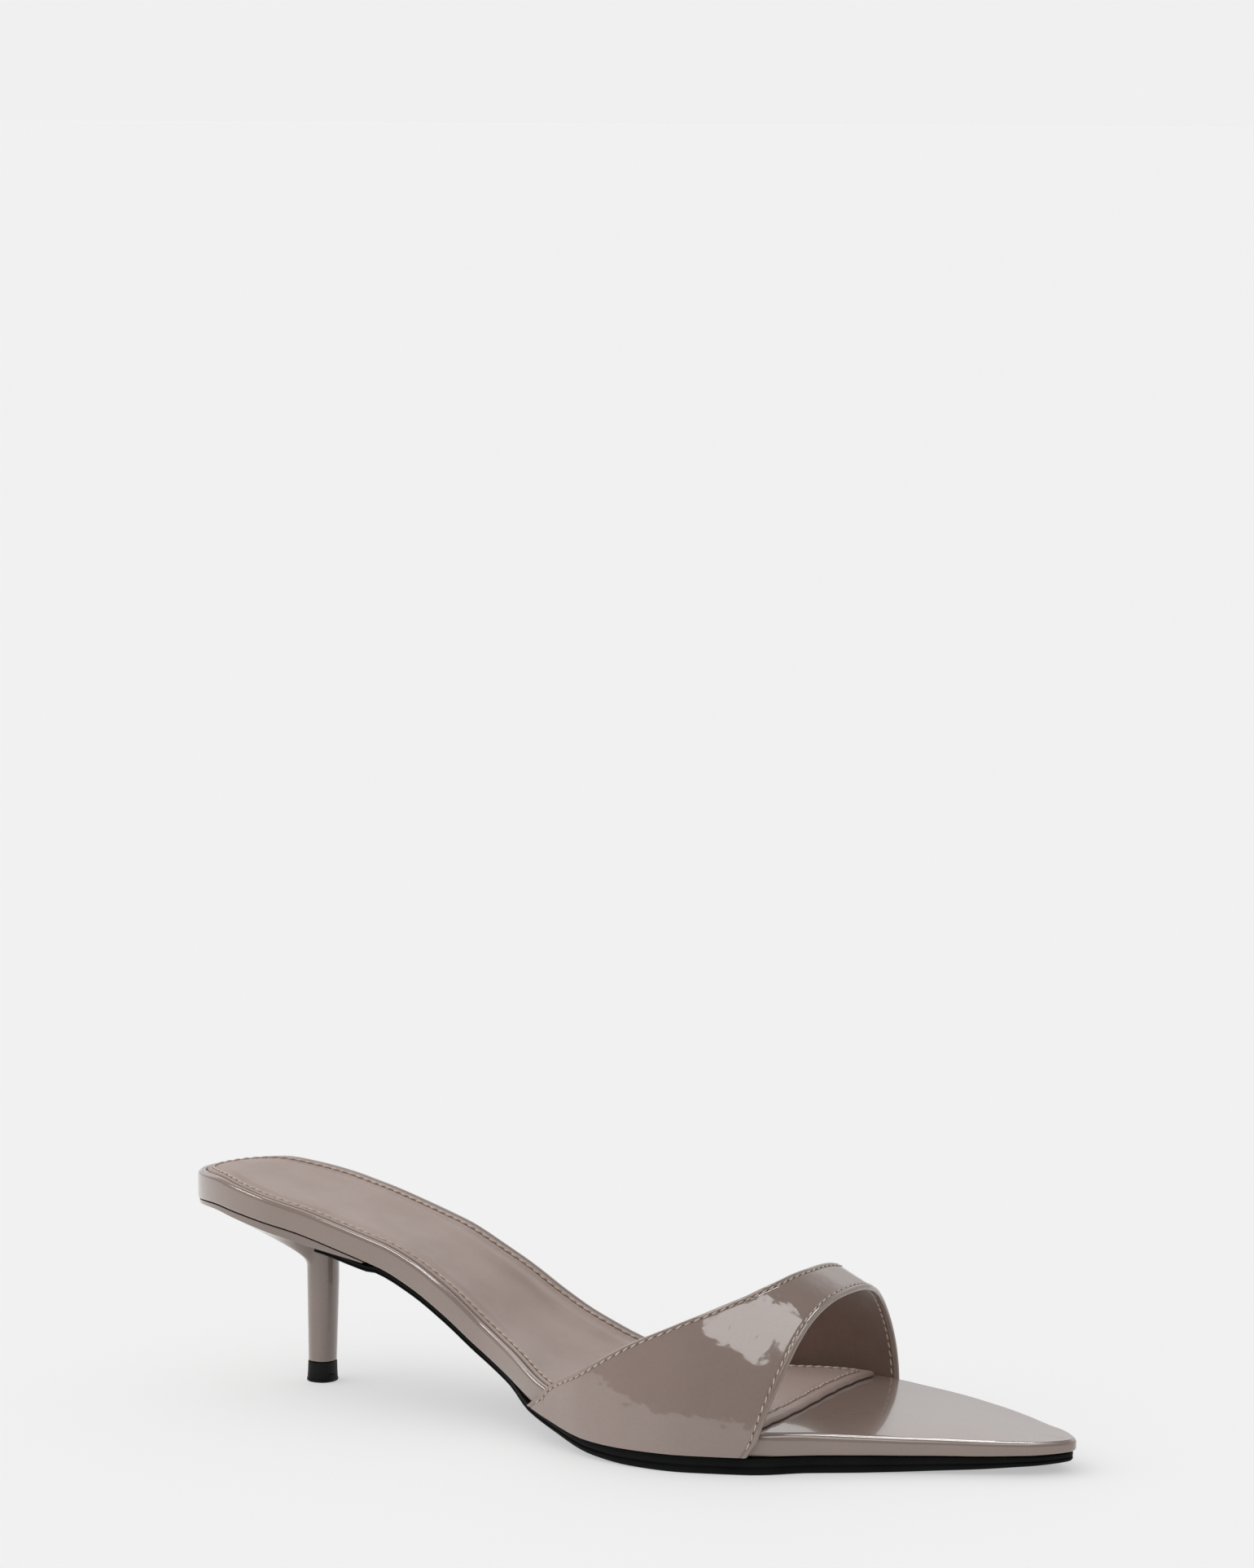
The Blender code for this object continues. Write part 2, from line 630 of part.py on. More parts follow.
def build_heel() -> bpy.types.Object:
    """Lacquered heel: a saucer under the seat that runs down into a slim stem."""
    top = rungs_between(heel_plate(0.0), FOOTBED_STEPS, lambda x, share: board_bottom(x) - GAP)
    seat = rim(top)
    stem = stem_ring(STEM_LENGTH_TOP, STEM_WIDTH_TOP, STEM_TOP_Z)

    def saucer(share: float) -> list:
        points = []
        for start, end in zip(seat, stem):
            x = start[0] + (end[0] - start[0]) * share
            y = start[1] + (end[1] - start[1]) * share
            fade = ease((start[0] / BREAST_X - CONE_FADE_START) / CONE_FADE_LENGTH)
            cone = SAUCER_DEPTH * (1.0 - fade)
            under = board_bottom(x) - GAP - plate_thickness(x)
            level = under - cone * share
            fillet = 1.0 - (1.0 - share ** SAUCER_FILLET) ** (1.0 / SAUCER_FILLET)
            points.append((x, y, level + (end[2] - level) * fillet))
        return points

    mesh = bmesh.new()
    shares = [1.0 - (1.0 - k / SAUCER_RINGS) ** SAUCER_RING_SPREAD for k in range(SAUCER_RINGS + 1)]
    rings = [saucer(share) for share in shares]
    for k in range(1, STEM_RINGS + 1):
        share = k / STEM_RINGS
        length = STEM_LENGTH_TOP + (STEM_LENGTH_FOOT - STEM_LENGTH_TOP) * share
        width = STEM_WIDTH_TOP + (STEM_WIDTH_FOOT - STEM_WIDTH_TOP) * share
        foot = TIP_PIECE_HEIGHT + GAP
        rings.append(stem_ring(length, width, STEM_TOP_Z + (foot - STEM_TOP_Z) * share))
    upper = add_rungs(mesh, top)
    stack = [rim(upper)] + [add_ring(mesh, points) for points in rings]
    for below, above in zip(stack, stack[1:]):
        bridge(mesh, below, above)
    skin(mesh, upper)
    mesh.faces.new(stack[-1])
    return finish_mesh("heel", mesh, LACQUER)


def build_top_piece() -> bpy.types.Object:
    """Black heel tip, a little wider at the floor, with its moulding nub at the front."""
    edge = TIP_PIECE_EDGE
    levels = (
        (TIP_PIECE_HEIGHT, 0.0),
        (TIP_NUB_HEIGHT + edge, TIP_PIECE_FLARE),
        (TIP_NUB_HEIGHT, TIP_PIECE_FLARE),
        (edge, TIP_PIECE_FLARE),
        (0.0, TIP_PIECE_FLARE - edge),
    )
    mesh = bmesh.new()
    stack = []
    for height, grow in levels:
        ring = stem_ring(STEM_LENGTH_FOOT + 2.0 * grow, STEM_WIDTH_FOOT + 2.0 * grow, height)
        nub = TIP_NUB_REACH if height <= TIP_NUB_HEIGHT else 0.0
        front = STEM_X + TIP_NUB_START * STEM_LENGTH_FOOT
        spread = TIP_NUB_SPREAD * STEM_WIDTH_FOOT
        ring = [(x + nub if x > front and abs(y) < spread else x, y, z) for x, y, z in ring]
        stack.append(add_ring(mesh, ring))
    for below, above in zip(stack, stack[1:]):
        bridge(mesh, below, above)
    mesh.faces.new(stack[0])
    mesh.faces.new(stack[-1])
    return finish_mesh("top_piece", mesh, SOLE_RUBBER)


def centre_plan(pieces: list) -> None:
    """Move the shoe so that the middle of its plan stands on the origin."""
    bpy.context.view_layer.update()
    graph = bpy.context.evaluated_depsgraph_get()
    spots = [point.co for piece in pieces for point in piece.evaluated_get(graph).data.vertices]
    middle_x = 0.5 * (min(p.x for p in spots) + max(p.x for p in spots))
    middle_y = 0.5 * (min(p.y for p in spots) + max(p.y for p in spots))
    for piece in pieces:
        piece.location = (-middle_x, -middle_y, 0.0)


def main() -> None:
    """Build every piece and centre the shoe's plan on the origin."""
    for leftover in list(bpy.data.objects):
        bpy.data.objects.remove(leftover, do_unlink=True)
    centre_plan([
        build_platform(),
        build_outsole(),
        build_insole(),
        build_upper(),
        build_heel(),
        build_top_piece(),
    ])


main()
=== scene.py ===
"""Looks of the mid heel mule: patent strap and platform, matt sock, lacquered heel, black sole.

Metres, +Z up, floor at z = 0, toe towards +X, outer side of the foot towards -Y.
Every sole piece is lofted between loops drawn round the same last as the solids.
"""
import bisect
import logging
import math
import random
from dataclasses import dataclass, field
from enum import Enum, IntEnum
from typing import Callable, NamedTuple, Sequence

import bmesh
import bpy
from mathutils import Matrix, Vector

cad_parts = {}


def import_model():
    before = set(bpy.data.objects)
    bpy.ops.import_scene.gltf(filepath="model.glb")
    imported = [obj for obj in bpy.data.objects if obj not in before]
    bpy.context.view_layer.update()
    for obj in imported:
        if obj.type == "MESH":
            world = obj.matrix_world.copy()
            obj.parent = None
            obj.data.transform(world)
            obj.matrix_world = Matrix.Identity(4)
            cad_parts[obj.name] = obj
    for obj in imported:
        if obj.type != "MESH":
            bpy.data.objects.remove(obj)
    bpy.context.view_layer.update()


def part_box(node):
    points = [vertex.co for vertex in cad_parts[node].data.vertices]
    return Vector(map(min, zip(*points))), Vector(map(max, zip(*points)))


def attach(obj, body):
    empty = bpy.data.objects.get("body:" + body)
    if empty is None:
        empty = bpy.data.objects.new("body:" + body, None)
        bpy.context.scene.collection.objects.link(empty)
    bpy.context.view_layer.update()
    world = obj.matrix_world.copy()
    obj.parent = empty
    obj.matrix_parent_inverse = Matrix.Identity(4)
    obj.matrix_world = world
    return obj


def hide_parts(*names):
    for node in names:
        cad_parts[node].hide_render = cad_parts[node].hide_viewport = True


LOG = logging.getLogger("mule")
WELD = 2e-6
BODY = "root"
SEED = 7

Point = tuple[float, float, float]
Place = tuple[float, float]


class Side(IntEnum):
    """Side of the foot, with the sign of its direction across the shoe."""

    OUTER = -1
    INNER = 1


class Edge(Enum):
    """Edge of the strap."""

    BACK = "back"
    FRONT = "front"


class Face(Enum):
    """Face of the strap."""

    LEATHER = "leather"
    LINING = "lining"


@dataclass(frozen=True)
class Section:
    """One cross-section of the last, as shares of the last's sizes."""

    along: float
    centre: float
    seat: float
    tread: float
    rise: float
    spring: float
    sole: float
    board: float


SECTIONS = (
    Section(0.000, 0.000, 0.490, 0.000, 0.9300, 0.00, 0.00, 1.22),
    Section(0.055, 0.000, 0.497, 0.000, 0.9545, 0.00, 0.00, 1.20),
    Section(0.089, 0.000, 0.500, 0.000, 0.9360, 0.00, 0.00, 1.12),
    Section(0.127, 0.000, 0.500, 0.000, 0.9050, 0.00, 0.00, 1.05),
    Section(0.167, 0.000, 0.490, 0.000, 0.8650, 0.00, 0.00, 1.00),
    Section(0.216, 0.000, 0.480, 0.000, 0.7960, 0.00, 0.00, 1.00),
    Section(0.246, 0.000, 0.472, 0.000, 0.7500, 0.00, 0.00, 1.00),
    Section(0.272, 0.000, 0.463, 0.000, 0.7040, 0.00, 0.00, 1.00),
    Section(0.300, 0.001, 0.460, 0.000, 0.6320, 0.00, 0.00, 1.00),
    Section(0.341, 0.003, 0.400, 0.043, 0.5070, 0.00, 0.00, 1.00),
    Section(0.385, 0.005, 0.290, 0.122, 0.3580, 0.00, 0.02, 1.00),
    Section(0.429, -0.015, 0.170, 0.214, 0.2430, 0.00, 0.08, 1.00),
    Section(0.473, -0.034, 0.070, 0.319, 0.1380, 0.00, 0.16, 1.00),
    Section(0.522, -0.048, 0.000, 0.415, 0.0670, 0.00, 0.40, 1.00),
    Section(0.566, -0.055, 0.000, 0.464, 0.0220, 0.00, 0.68, 1.00),
    Section(0.610, -0.053, 0.000, 0.490, 0.0040, 0.00, 0.92, 1.00),
    Section(0.655, -0.043, 0.000, 0.499, 0.0000, 0.00, 1.00, 1.00),
    Section(0.703, -0.020, 0.000, 0.480, 0.0000, 0.00, 1.00, 0.98),
    Section(0.747, 0.002, 0.000, 0.445, 0.0000, 0.00, 1.00, 0.96),
    Section(0.783, 0.030, 0.000, 0.395, 0.0000, 0.00, 1.00, 0.90),
    Section(0.820, 0.052, 0.000, 0.350, 0.0000, 0.03, 0.97, 0.81),
    Section(0.848, 0.063, 0.000, 0.312, 0.0000, 0.10, 0.88, 0.76),
    Section(0.888, 0.067, 0.000, 0.252, 0.0000, 0.27, 0.72, 0.70),
    Section(0.924, 0.061, 0.000, 0.195, 0.0000, 0.46, 0.54, 0.65),
    Section(0.961, 0.053, 0.000, 0.128, 0.0000, 0.72, 0.34, 0.58),
    Section(1.001, 0.055, 0.000, 0.066, 0.0000, 1.00, 0.18, 0.48),
)


@dataclass(frozen=True)
class StrapEdge:
    """Where the strap's two edges cross one line over the foot, as shares of the length."""

    turn: float
    back: float
    front: float


STRAP_EDGES = (
    StrapEdge(-15, 0.471, 0.7299),
    StrapEdge(0, 0.490, 0.7391),
    StrapEdge(11, 0.546, 0.7456),
    StrapEdge(21, 0.592, 0.7504),
    StrapEdge(34, 0.645, 0.7544),
    StrapEdge(45, 0.676, 0.7560),
    StrapEdge(58, 0.700, 0.7572),
    StrapEdge(73, 0.714, 0.7589),
    StrapEdge(90, 0.720, 0.7607),
    StrapEdge(107, 0.717, 0.7576),
    StrapEdge(122, 0.704, 0.7511),
    StrapEdge(135, 0.681, 0.7450),
    StrapEdge(146, 0.651, 0.7415),
    StrapEdge(159, 0.601, 0.7399),
    StrapEdge(169, 0.554, 0.7395),
    StrapEdge(180, 0.506, 0.7395),
    StrapEdge(195, 0.477, 0.7383),
)


def ease(t: float) -> float:
    """Smooth step from 0 to 1 for t between 0 and 1."""
    t = min(max(t, 0.0), 1.0)
    return t * t * (3.0 - 2.0 * t)


class Rise(NamedTuple):
    """Smooth step: where it starts and how long it is."""

    start: float
    span: float

    def at(self, x: float) -> float:
        """Share of the step at a place, 0 before it and 1 past it."""
        return ease((x - self.start) / self.span)


class EdgeRow(NamedTuple):
    """One row of an edge's profile: its inset, and its level as a share of the thickness."""

    inset: float
    level: float


def bump_at(x: float, middle: float, reach: float) -> float:
    """Soft bump of height 1 round a middle, gone a little past its reach.

    Args:
        x: place to read.
        middle: place of the bump's top.
        reach: distance at which it has fallen to about a third.

    Returns:
        The height there.
    """
    return math.exp(-((x - middle) / reach) ** 2)


class Curve:
    """Smooth curve through listed values that never overshoots them."""

    def __init__(self, places: Sequence[float], values: Sequence[float]) -> None:
        """Keep the places and work out the slope at each.

        Args:
            places: rising places.
            values: value at each place.
        """
        self.places = list(places)
        self.values = list(values)
        last = len(self.places) - 1
        chords = [
            (self.values[k + 1] - self.values[k]) / (self.places[k + 1] - self.places[k]) for k in range(last)
        ]
        self.slopes = [chords[0]]
        for before, after in zip(chords, chords[1:]):
            flat = before * after <= 0.0
            self.slopes.append(0.0 if flat else 2.0 * before * after / (before + after))
        self.slopes.append(chords[-1])
        self.known: dict[float, float] = {}

    def __call__(self, at: float) -> float:
        """Value at one place, clamped to the listed ends."""
        if at not in self.known:
            self.known[at] = self.read(min(max(at, self.places[0]), self.places[-1]))
        return self.known[at]

    def read(self, at: float) -> float:
        """Value at a place between the listed ends."""
        k = min(bisect.bisect_right(self.places, at), len(self.places) - 1) - 1
        span = self.places[k + 1] - self.places[k]
        t = (at - self.places[k]) / span
        rise = self.values[k + 1] - self.values[k]
        start = self.slopes[k] * span
        end = self.slopes[k + 1] * span
        bend = 3.0 * rise - 2.0 * start - end + t * (start + end - 2.0 * rise)
        return self.values[k] + t * (start + t * bend)


@dataclass
class Last:
    """The shape that every sole piece follows, with the sizes of the solids."""

    origin: Vector
    length: float = 0.2484
    tread_width: float = 0.0800
    seat_width: float = 0.0452
    heel_rise: float = 0.0473
    toe_spring: float = 0.0028
    seat_end: float = 0.036
    tip_length: float = 0.0080
    seat_fullness: float = 1.95
    board_thickness: float = 0.0058
    sole_tread: float = 0.0042
    sole_waist: float = 0.0016
    board_edge: float = 0.0019
    cup: float = 0.0014
    toe_dome: float = 0.0011
    gap: float = 0.0003
    sink: float = 0.0009
    sink_end: Rise = Rise(0.150, 0.025)
    hollow_rise: Rise = Rise(0.02, 0.10)
    hollow_fall: Rise = Rise(0.42, 0.24)
    dome_rise: Rise = Rise(0.62, 0.20)
    dome_fall: Rise = Rise(0.86, 0.14)
    cup_power: float = 2.6
    least_half: float = 0.0005
    slope_share: float = 0.02
    probe: float = 0.0004
    columns: dict[str, Curve] = field(default_factory=dict)

    def __post_init__(self) -> None:
        """Make one smooth curve for each column of the sections."""
        along = [section.along for section in SECTIONS]
        for name in ("centre", "seat", "tread", "rise", "spring", "sole", "board"):
            self.columns[name] = Curve(along, [getattr(section, name) for section in SECTIONS])

    def ground(self, x: float) -> float:
        """Height of the outsole's underside."""
        along = x / self.length
        return self.heel_rise * self.columns["rise"](along) + self.toe_spring * self.columns["spring"](along)

    def slant(self, x: float) -> float:
        """Length of the sole line for one unit of x."""
        step = self.slope_share * self.length
        fall = self.ground(min(x + step, self.length)) - self.ground(max(x - step, 0.0))
        return math.hypot(1.0, fall / (2.0 * step))

    def board_bottom(self, x: float) -> float:
        """Height of the platform's underside."""
        share = self.columns["sole"](x / self.length)
        sole = self.sole_waist + (self.sole_tread - self.sole_waist) * share
        return self.ground(x) + sole * self.slant(x) + self.gap

    def board_top(self, x: float) -> float:
        """Height of the platform's upper rim."""
        board = self.board_thickness * self.columns["board"](x / self.length) * self.slant(x)
        return self.board_bottom(x) + board

    def edge_radius(self, x: float) -> float:
        """Radius of the platform's upper rim."""
        return self.board_edge * self.columns["board"](x / self.length)

    def half_width(self, x: float) -> float:
        """Half the plan width, rounded off at both ends."""
        along = x / self.length
        seat = self.seat_width * self.columns["seat"](along)
        width = seat + self.tread_width * self.columns["tread"](along)
        back = 1.0 - min(1.0, max(x, 0.0) / self.seat_end)
        tip = 1.0 - min(1.0, (self.length - x) / self.tip_length)
        back_round = (1.0 - back ** self.seat_fullness) ** (1.0 / self.seat_fullness)
        return width * back_round * math.sqrt(max(1.0 - tip * tip, 0.0))

    def centre(self, x: float) -> float:
        """Middle of the plan."""
        return self.tread_width * self.columns["centre"](x / self.length)

    def side_point(self, x: float, side: Side, margin: float = 0.0) -> Place:
        """Point of the outline, drawn in by a margin square to it.

        Args:
            x: place along the shoe.
            side: side of the foot.
            margin: distance inwards; a negative one goes outwards.

        Returns:
            The point in plan.
        """
        ahead = min(x + self.probe, self.length)
        behind = max(x - self.probe, 0.0)
        run = ahead - behind
        drift = self.centre(ahead) - self.centre(behind)
        drift += side * (self.half_width(ahead) - self.half_width(behind))
        tangent = math.hypot(run, drift)
        if x <= 0.0:
            return (x + margin, self.centre(x))
        if x >= self.length:
            return (x - margin, self.centre(x))
        y = self.centre(x) + side * self.half_width(x)
        return (x + side * margin * drift / tangent, y - side * margin * run / tangent)

    def footbed(self, x: float, y: float) -> float:
        """Height of the platform's top: a cup under the heel and waist, a dome at the toe.

        Args:
            x: place along the shoe.
            y: place across it.

        Returns:
            The height above the floor.
        """
        x = min(max(x, 0.0), self.length)
        along = x / self.length
        hollow = self.hollow_rise.at(along) - self.hollow_fall.at(along)
        dome = self.dome_rise.at(along) - self.dome_fall.at(along)
        half = max(self.half_width(x) - self.edge_radius(x), self.least_half)
        off = min(abs(y - self.centre(x)) / half, 1.0)
        sunk = self.cup * hollow * (1.0 - off ** self.cup_power)
        return self.board_top(x) - sunk + self.toe_dome * dome * (1.0 - off * off)

    def recess(self, x: float) -> float:
        """Depth that the sock sinks below the rim, none under the strap's front."""
        return self.sink * (1.0 - self.sink_end.at(x))

    def world(self, x: float, y: float, z: float) -> Vector:
        """A point of the last in the row's frame."""
        return Vector((x, y, z)) + self.origin


def loft(name: str, rows: list[list[Vector]], closed: bool, caps: bool = False) -> bpy.types.Object:
    """Skin a smooth surface over rows of points, on a grid whose corners are moved.

    Args:
        name: name of the piece.
        rows: rows of points, each of the same count.
        closed: True where each row is a loop.
        caps: True where the open first and last rows are filled.

    Returns:
        The new object, its faces outwards.
    """
    rows = [row + row[:1] for row in rows] if closed else rows
    down = len(rows) - 1
    across = len(rows[0]) - 1
    mesh = bmesh.new()
    bmesh.ops.create_grid(mesh, x_segments=down, y_segments=across, size=0.5)
    for corner in mesh.verts:
        k = round((corner.co.x + 0.5) * down)
        j = round((corner.co.y + 0.5) * across)
        corner.co = rows[k][j]
    bmesh.ops.remove_doubles(mesh, verts=mesh.verts, dist=WELD)
    if caps:
        rims = [edge for edge in mesh.edges if edge.is_boundary]
        bmesh.ops.holes_fill(mesh, edges=rims, sides=0)
    bmesh.ops.recalc_face_normals(mesh, faces=mesh.faces)
    return finished(name, mesh)


def finished(name: str, mesh: bmesh.types.BMesh, sharp: float = 40.0) -> bpy.types.Object:
    """Turn a bmesh into a smooth-shaded object at the origin.

    Args:
        name: name of the piece.
        mesh: its geometry, freed here.
        sharp: angle in degrees past which an edge stays sharp.

    Returns:
        The new object.
    """
    data = bpy.data.meshes.new(name)
    mesh.to_mesh(data)
    mesh.free()
    data.shade_smooth()
    data.set_sharp_from_angle(angle=math.radians(sharp))
    piece = bpy.data.objects.new(name, data)
    bpy.context.scene.collection.objects.link(piece)
    return piece


def towards(loop: list[Place], spine: list[Place], share: float) -> list[Place]:
    """Loop part of the way from an outline to the spine inside it.

    Args:
        loop: points of the outline.
        spine: point of the spine for each of them.
        share: 0 at the outline, 1 at the spine.

    Returns:
        The points between.
    """
    return [(a[0] + (b[0] - a[0]) * share, a[1] + (b[1] - a[1]) * share) for a, b in zip(loop, spine)]


def stations(start: float, end: float, count: int) -> list[float]:
    """Places from start to end, close together at both.

    Args:
        start: first place.
        end: last place.
        count: number of steps.

    Returns:
        The places.
    """
    return [start + 0.5 * (end - start) * (1.0 - math.cos(math.pi * k / count)) for k in range(count + 1)]


# Finishes


@dataclass(frozen=True, kw_only=True)
class Finish:
    """One finish: colours are linear, scales are per metre, depths in metres."""

    colour: tuple[float, float, float]
    shade: tuple[float, float, float]
    roughness: float
    rough_spread: float
    coat: float = 0.0
    coat_roughness: float = 0.3
    sheen: float = 0.0
    ripple_scale: float
    ripple_depth: float
    grain_scale: float
    grain_depth: float
    mottle_scale: float
    specular: float = 0.5


PATENT = Finish(
    colour=(0.305, 0.234, 0.204), shade=(0.274, 0.207, 0.178), roughness=0.06, rough_spread=0.02,
    coat=0.15, coat_roughness=0.03, ripple_scale=150.0, ripple_depth=0.00030, grain_scale=1500.0,
    grain_depth=0.000002, mottle_scale=26.0, specular=0.8,
)
PLATFORM_PATENT = Finish(
    colour=(0.288, 0.219, 0.189), shade=(0.262, 0.198, 0.169), roughness=0.20, rough_spread=0.05,
    coat=0.9, coat_roughness=0.05, ripple_scale=160.0, ripple_depth=0.00003, grain_scale=1500.0,
    grain_depth=0.000002, mottle_scale=26.0,
)
LACQUER = Finish(
    colour=(0.240, 0.182, 0.157), shade=(0.214, 0.160, 0.137), roughness=0.26, rough_spread=0.05,
    coat=1.0, coat_roughness=0.08, ripple_scale=90.0, ripple_depth=0.00002, grain_scale=1800.0,
    grain_depth=0.000002, mottle_scale=40.0,
)
SOCK = Finish(
    colour=(0.415, 0.300, 0.258), shade=(0.350, 0.246, 0.207), roughness=0.42, rough_spread=0.10,
    sheen=0.15, ripple_scale=220.0, ripple_depth=0.00006, grain_scale=2600.0, grain_depth=0.00003,
    mottle_scale=60.0, specular=0.60,
)
LINING = Finish(
    colour=(0.185, 0.118, 0.090), shade=(0.150, 0.094, 0.070), roughness=0.78, rough_spread=0.08,
    sheen=0.30, ripple_scale=260.0, ripple_depth=0.00008, grain_scale=3000.0, grain_depth=0.00005,
    mottle_scale=80.0, specular=0.25,
)
RUBBER = Finish(
    colour=(0.0035, 0.0038, 0.0042), shade=(0.0065, 0.0068, 0.0072), roughness=0.55, rough_spread=0.14,
    ripple_scale=300.0, ripple_depth=0.00004, grain_scale=3200.0, grain_depth=0.00003, mottle_scale=90.0,
    specular=0.12,
)
TIP_RUBBER = Finish(
    colour=(0.0040, 0.0040, 0.0046), shade=(0.0070, 0.0070, 0.0078), roughness=0.50, rough_spread=0.12,
    ripple_scale=300.0, ripple_depth=0.00003, grain_scale=3600.0, grain_depth=0.00002, mottle_scale=90.0,
    specular=0.25,
)
THREAD = Finish(
    colour=(0.640, 0.545, 0.470), shade=(0.480, 0.392, 0.325), roughness=0.62, rough_spread=0.10,
    sheen=0.25, ripple_scale=900.0, ripple_depth=0.00002, grain_scale=5200.0, grain_depth=0.00003,
    mottle_scale=700.0, specular=0.35,
)
# Painted shade: dark colour for the dots at the needle holes, standing in for the shade inside them.
NEEDLE_HOLE_SHADE = Finish(
    colour=(0.140, 0.105, 0.085), shade=(0.100, 0.075, 0.060), roughness=0.80, rough_spread=0.05,
    ripple_scale=900.0, ripple_depth=0.00001, grain_scale=5200.0, grain_depth=0.00001, mottle_scale=700.0,
    specular=0.2,
)


@dataclass
class Tree:
    """Adds nodes and links to one node tree in a few words."""

    tree: bpy.types.NodeTree

    def add(self, kind: str, **inputs: object) -> bpy.types.Node:
        """Add a node and set its inputs; a socket among them is linked.

        Args:
            kind: the node's type, without its common start.
            inputs: input names, with spaces as underscores.

        Returns:
            The new node.
        """
        node = self.tree.nodes.new("ShaderNode" + kind)
        for name, value in inputs.items():
            socket = node.inputs[name.replace("_", " ")]
            if isinstance(value, bpy.types.NodeSocket):
                self.tree.links.new(value, socket)
            else:
                socket.default_value = value
        return node

    def link(self, out: bpy.types.NodeSocket, into: bpy.types.NodeSocket) -> None:
        """Join two sockets."""
        self.tree.links.new(out, into)

    def blend(self, share: bpy.types.NodeSocket, low: object, high: object) -> bpy.types.NodeSocket:
        """Mix two colours by a share.

        Args:
            share: socket with the share of the second colour.
            low: first colour, as a socket or a value.
            high: second colour, as a socket or a value.

        Returns:
            The mixed colour's socket.
        """
        node = self.tree.nodes.new("ShaderNodeMix")
        node.data_type = "RGBA"
        self.tree.links.new(share, node.inputs["Factor"])
        for socket, value in ((node.inputs[6], low), (node.inputs[7], high)):
            if isinstance(value, bpy.types.NodeSocket):
                self.tree.links.new(value, socket)
            else:
                socket.default_value = value
        return node.outputs[2]

    def remap(self, value: bpy.types.NodeSocket, low: float, high: float, out_low: float,
              out_high: float) -> bpy.types.NodeSocket:
        """Stretch a value from one range to another, clamped.

        Args:
            value: socket to read.
            low: value that gives out_low.
            high: value that gives out_high.
            out_low: lowest result.
            out_high: highest result.

        Returns:
            The result's socket.
        """
        node = self.add("MapRange", Value=value, From_Min=low, From_Max=high, To_Min=out_low, To_Max=out_high)
        return node.outputs["Result"]

    def maths(self, kind: str, first: object, second: object) -> bpy.types.NodeSocket:
        """Join two values by one operation.

        Args:
            kind: the operation's name.
            first: first value, as a socket or a number.
            second: second value, as a socket or a number.

        Returns:
            The result's socket.
        """
        node = self.tree.nodes.new("ShaderNodeMath")
        node.operation = kind
        for socket, value in zip(node.inputs, (first, second)):
            if isinstance(value, bpy.types.NodeSocket):
                self.tree.links.new(value, socket)
            else:
                socket.default_value = value
        return node.outputs["Value"]


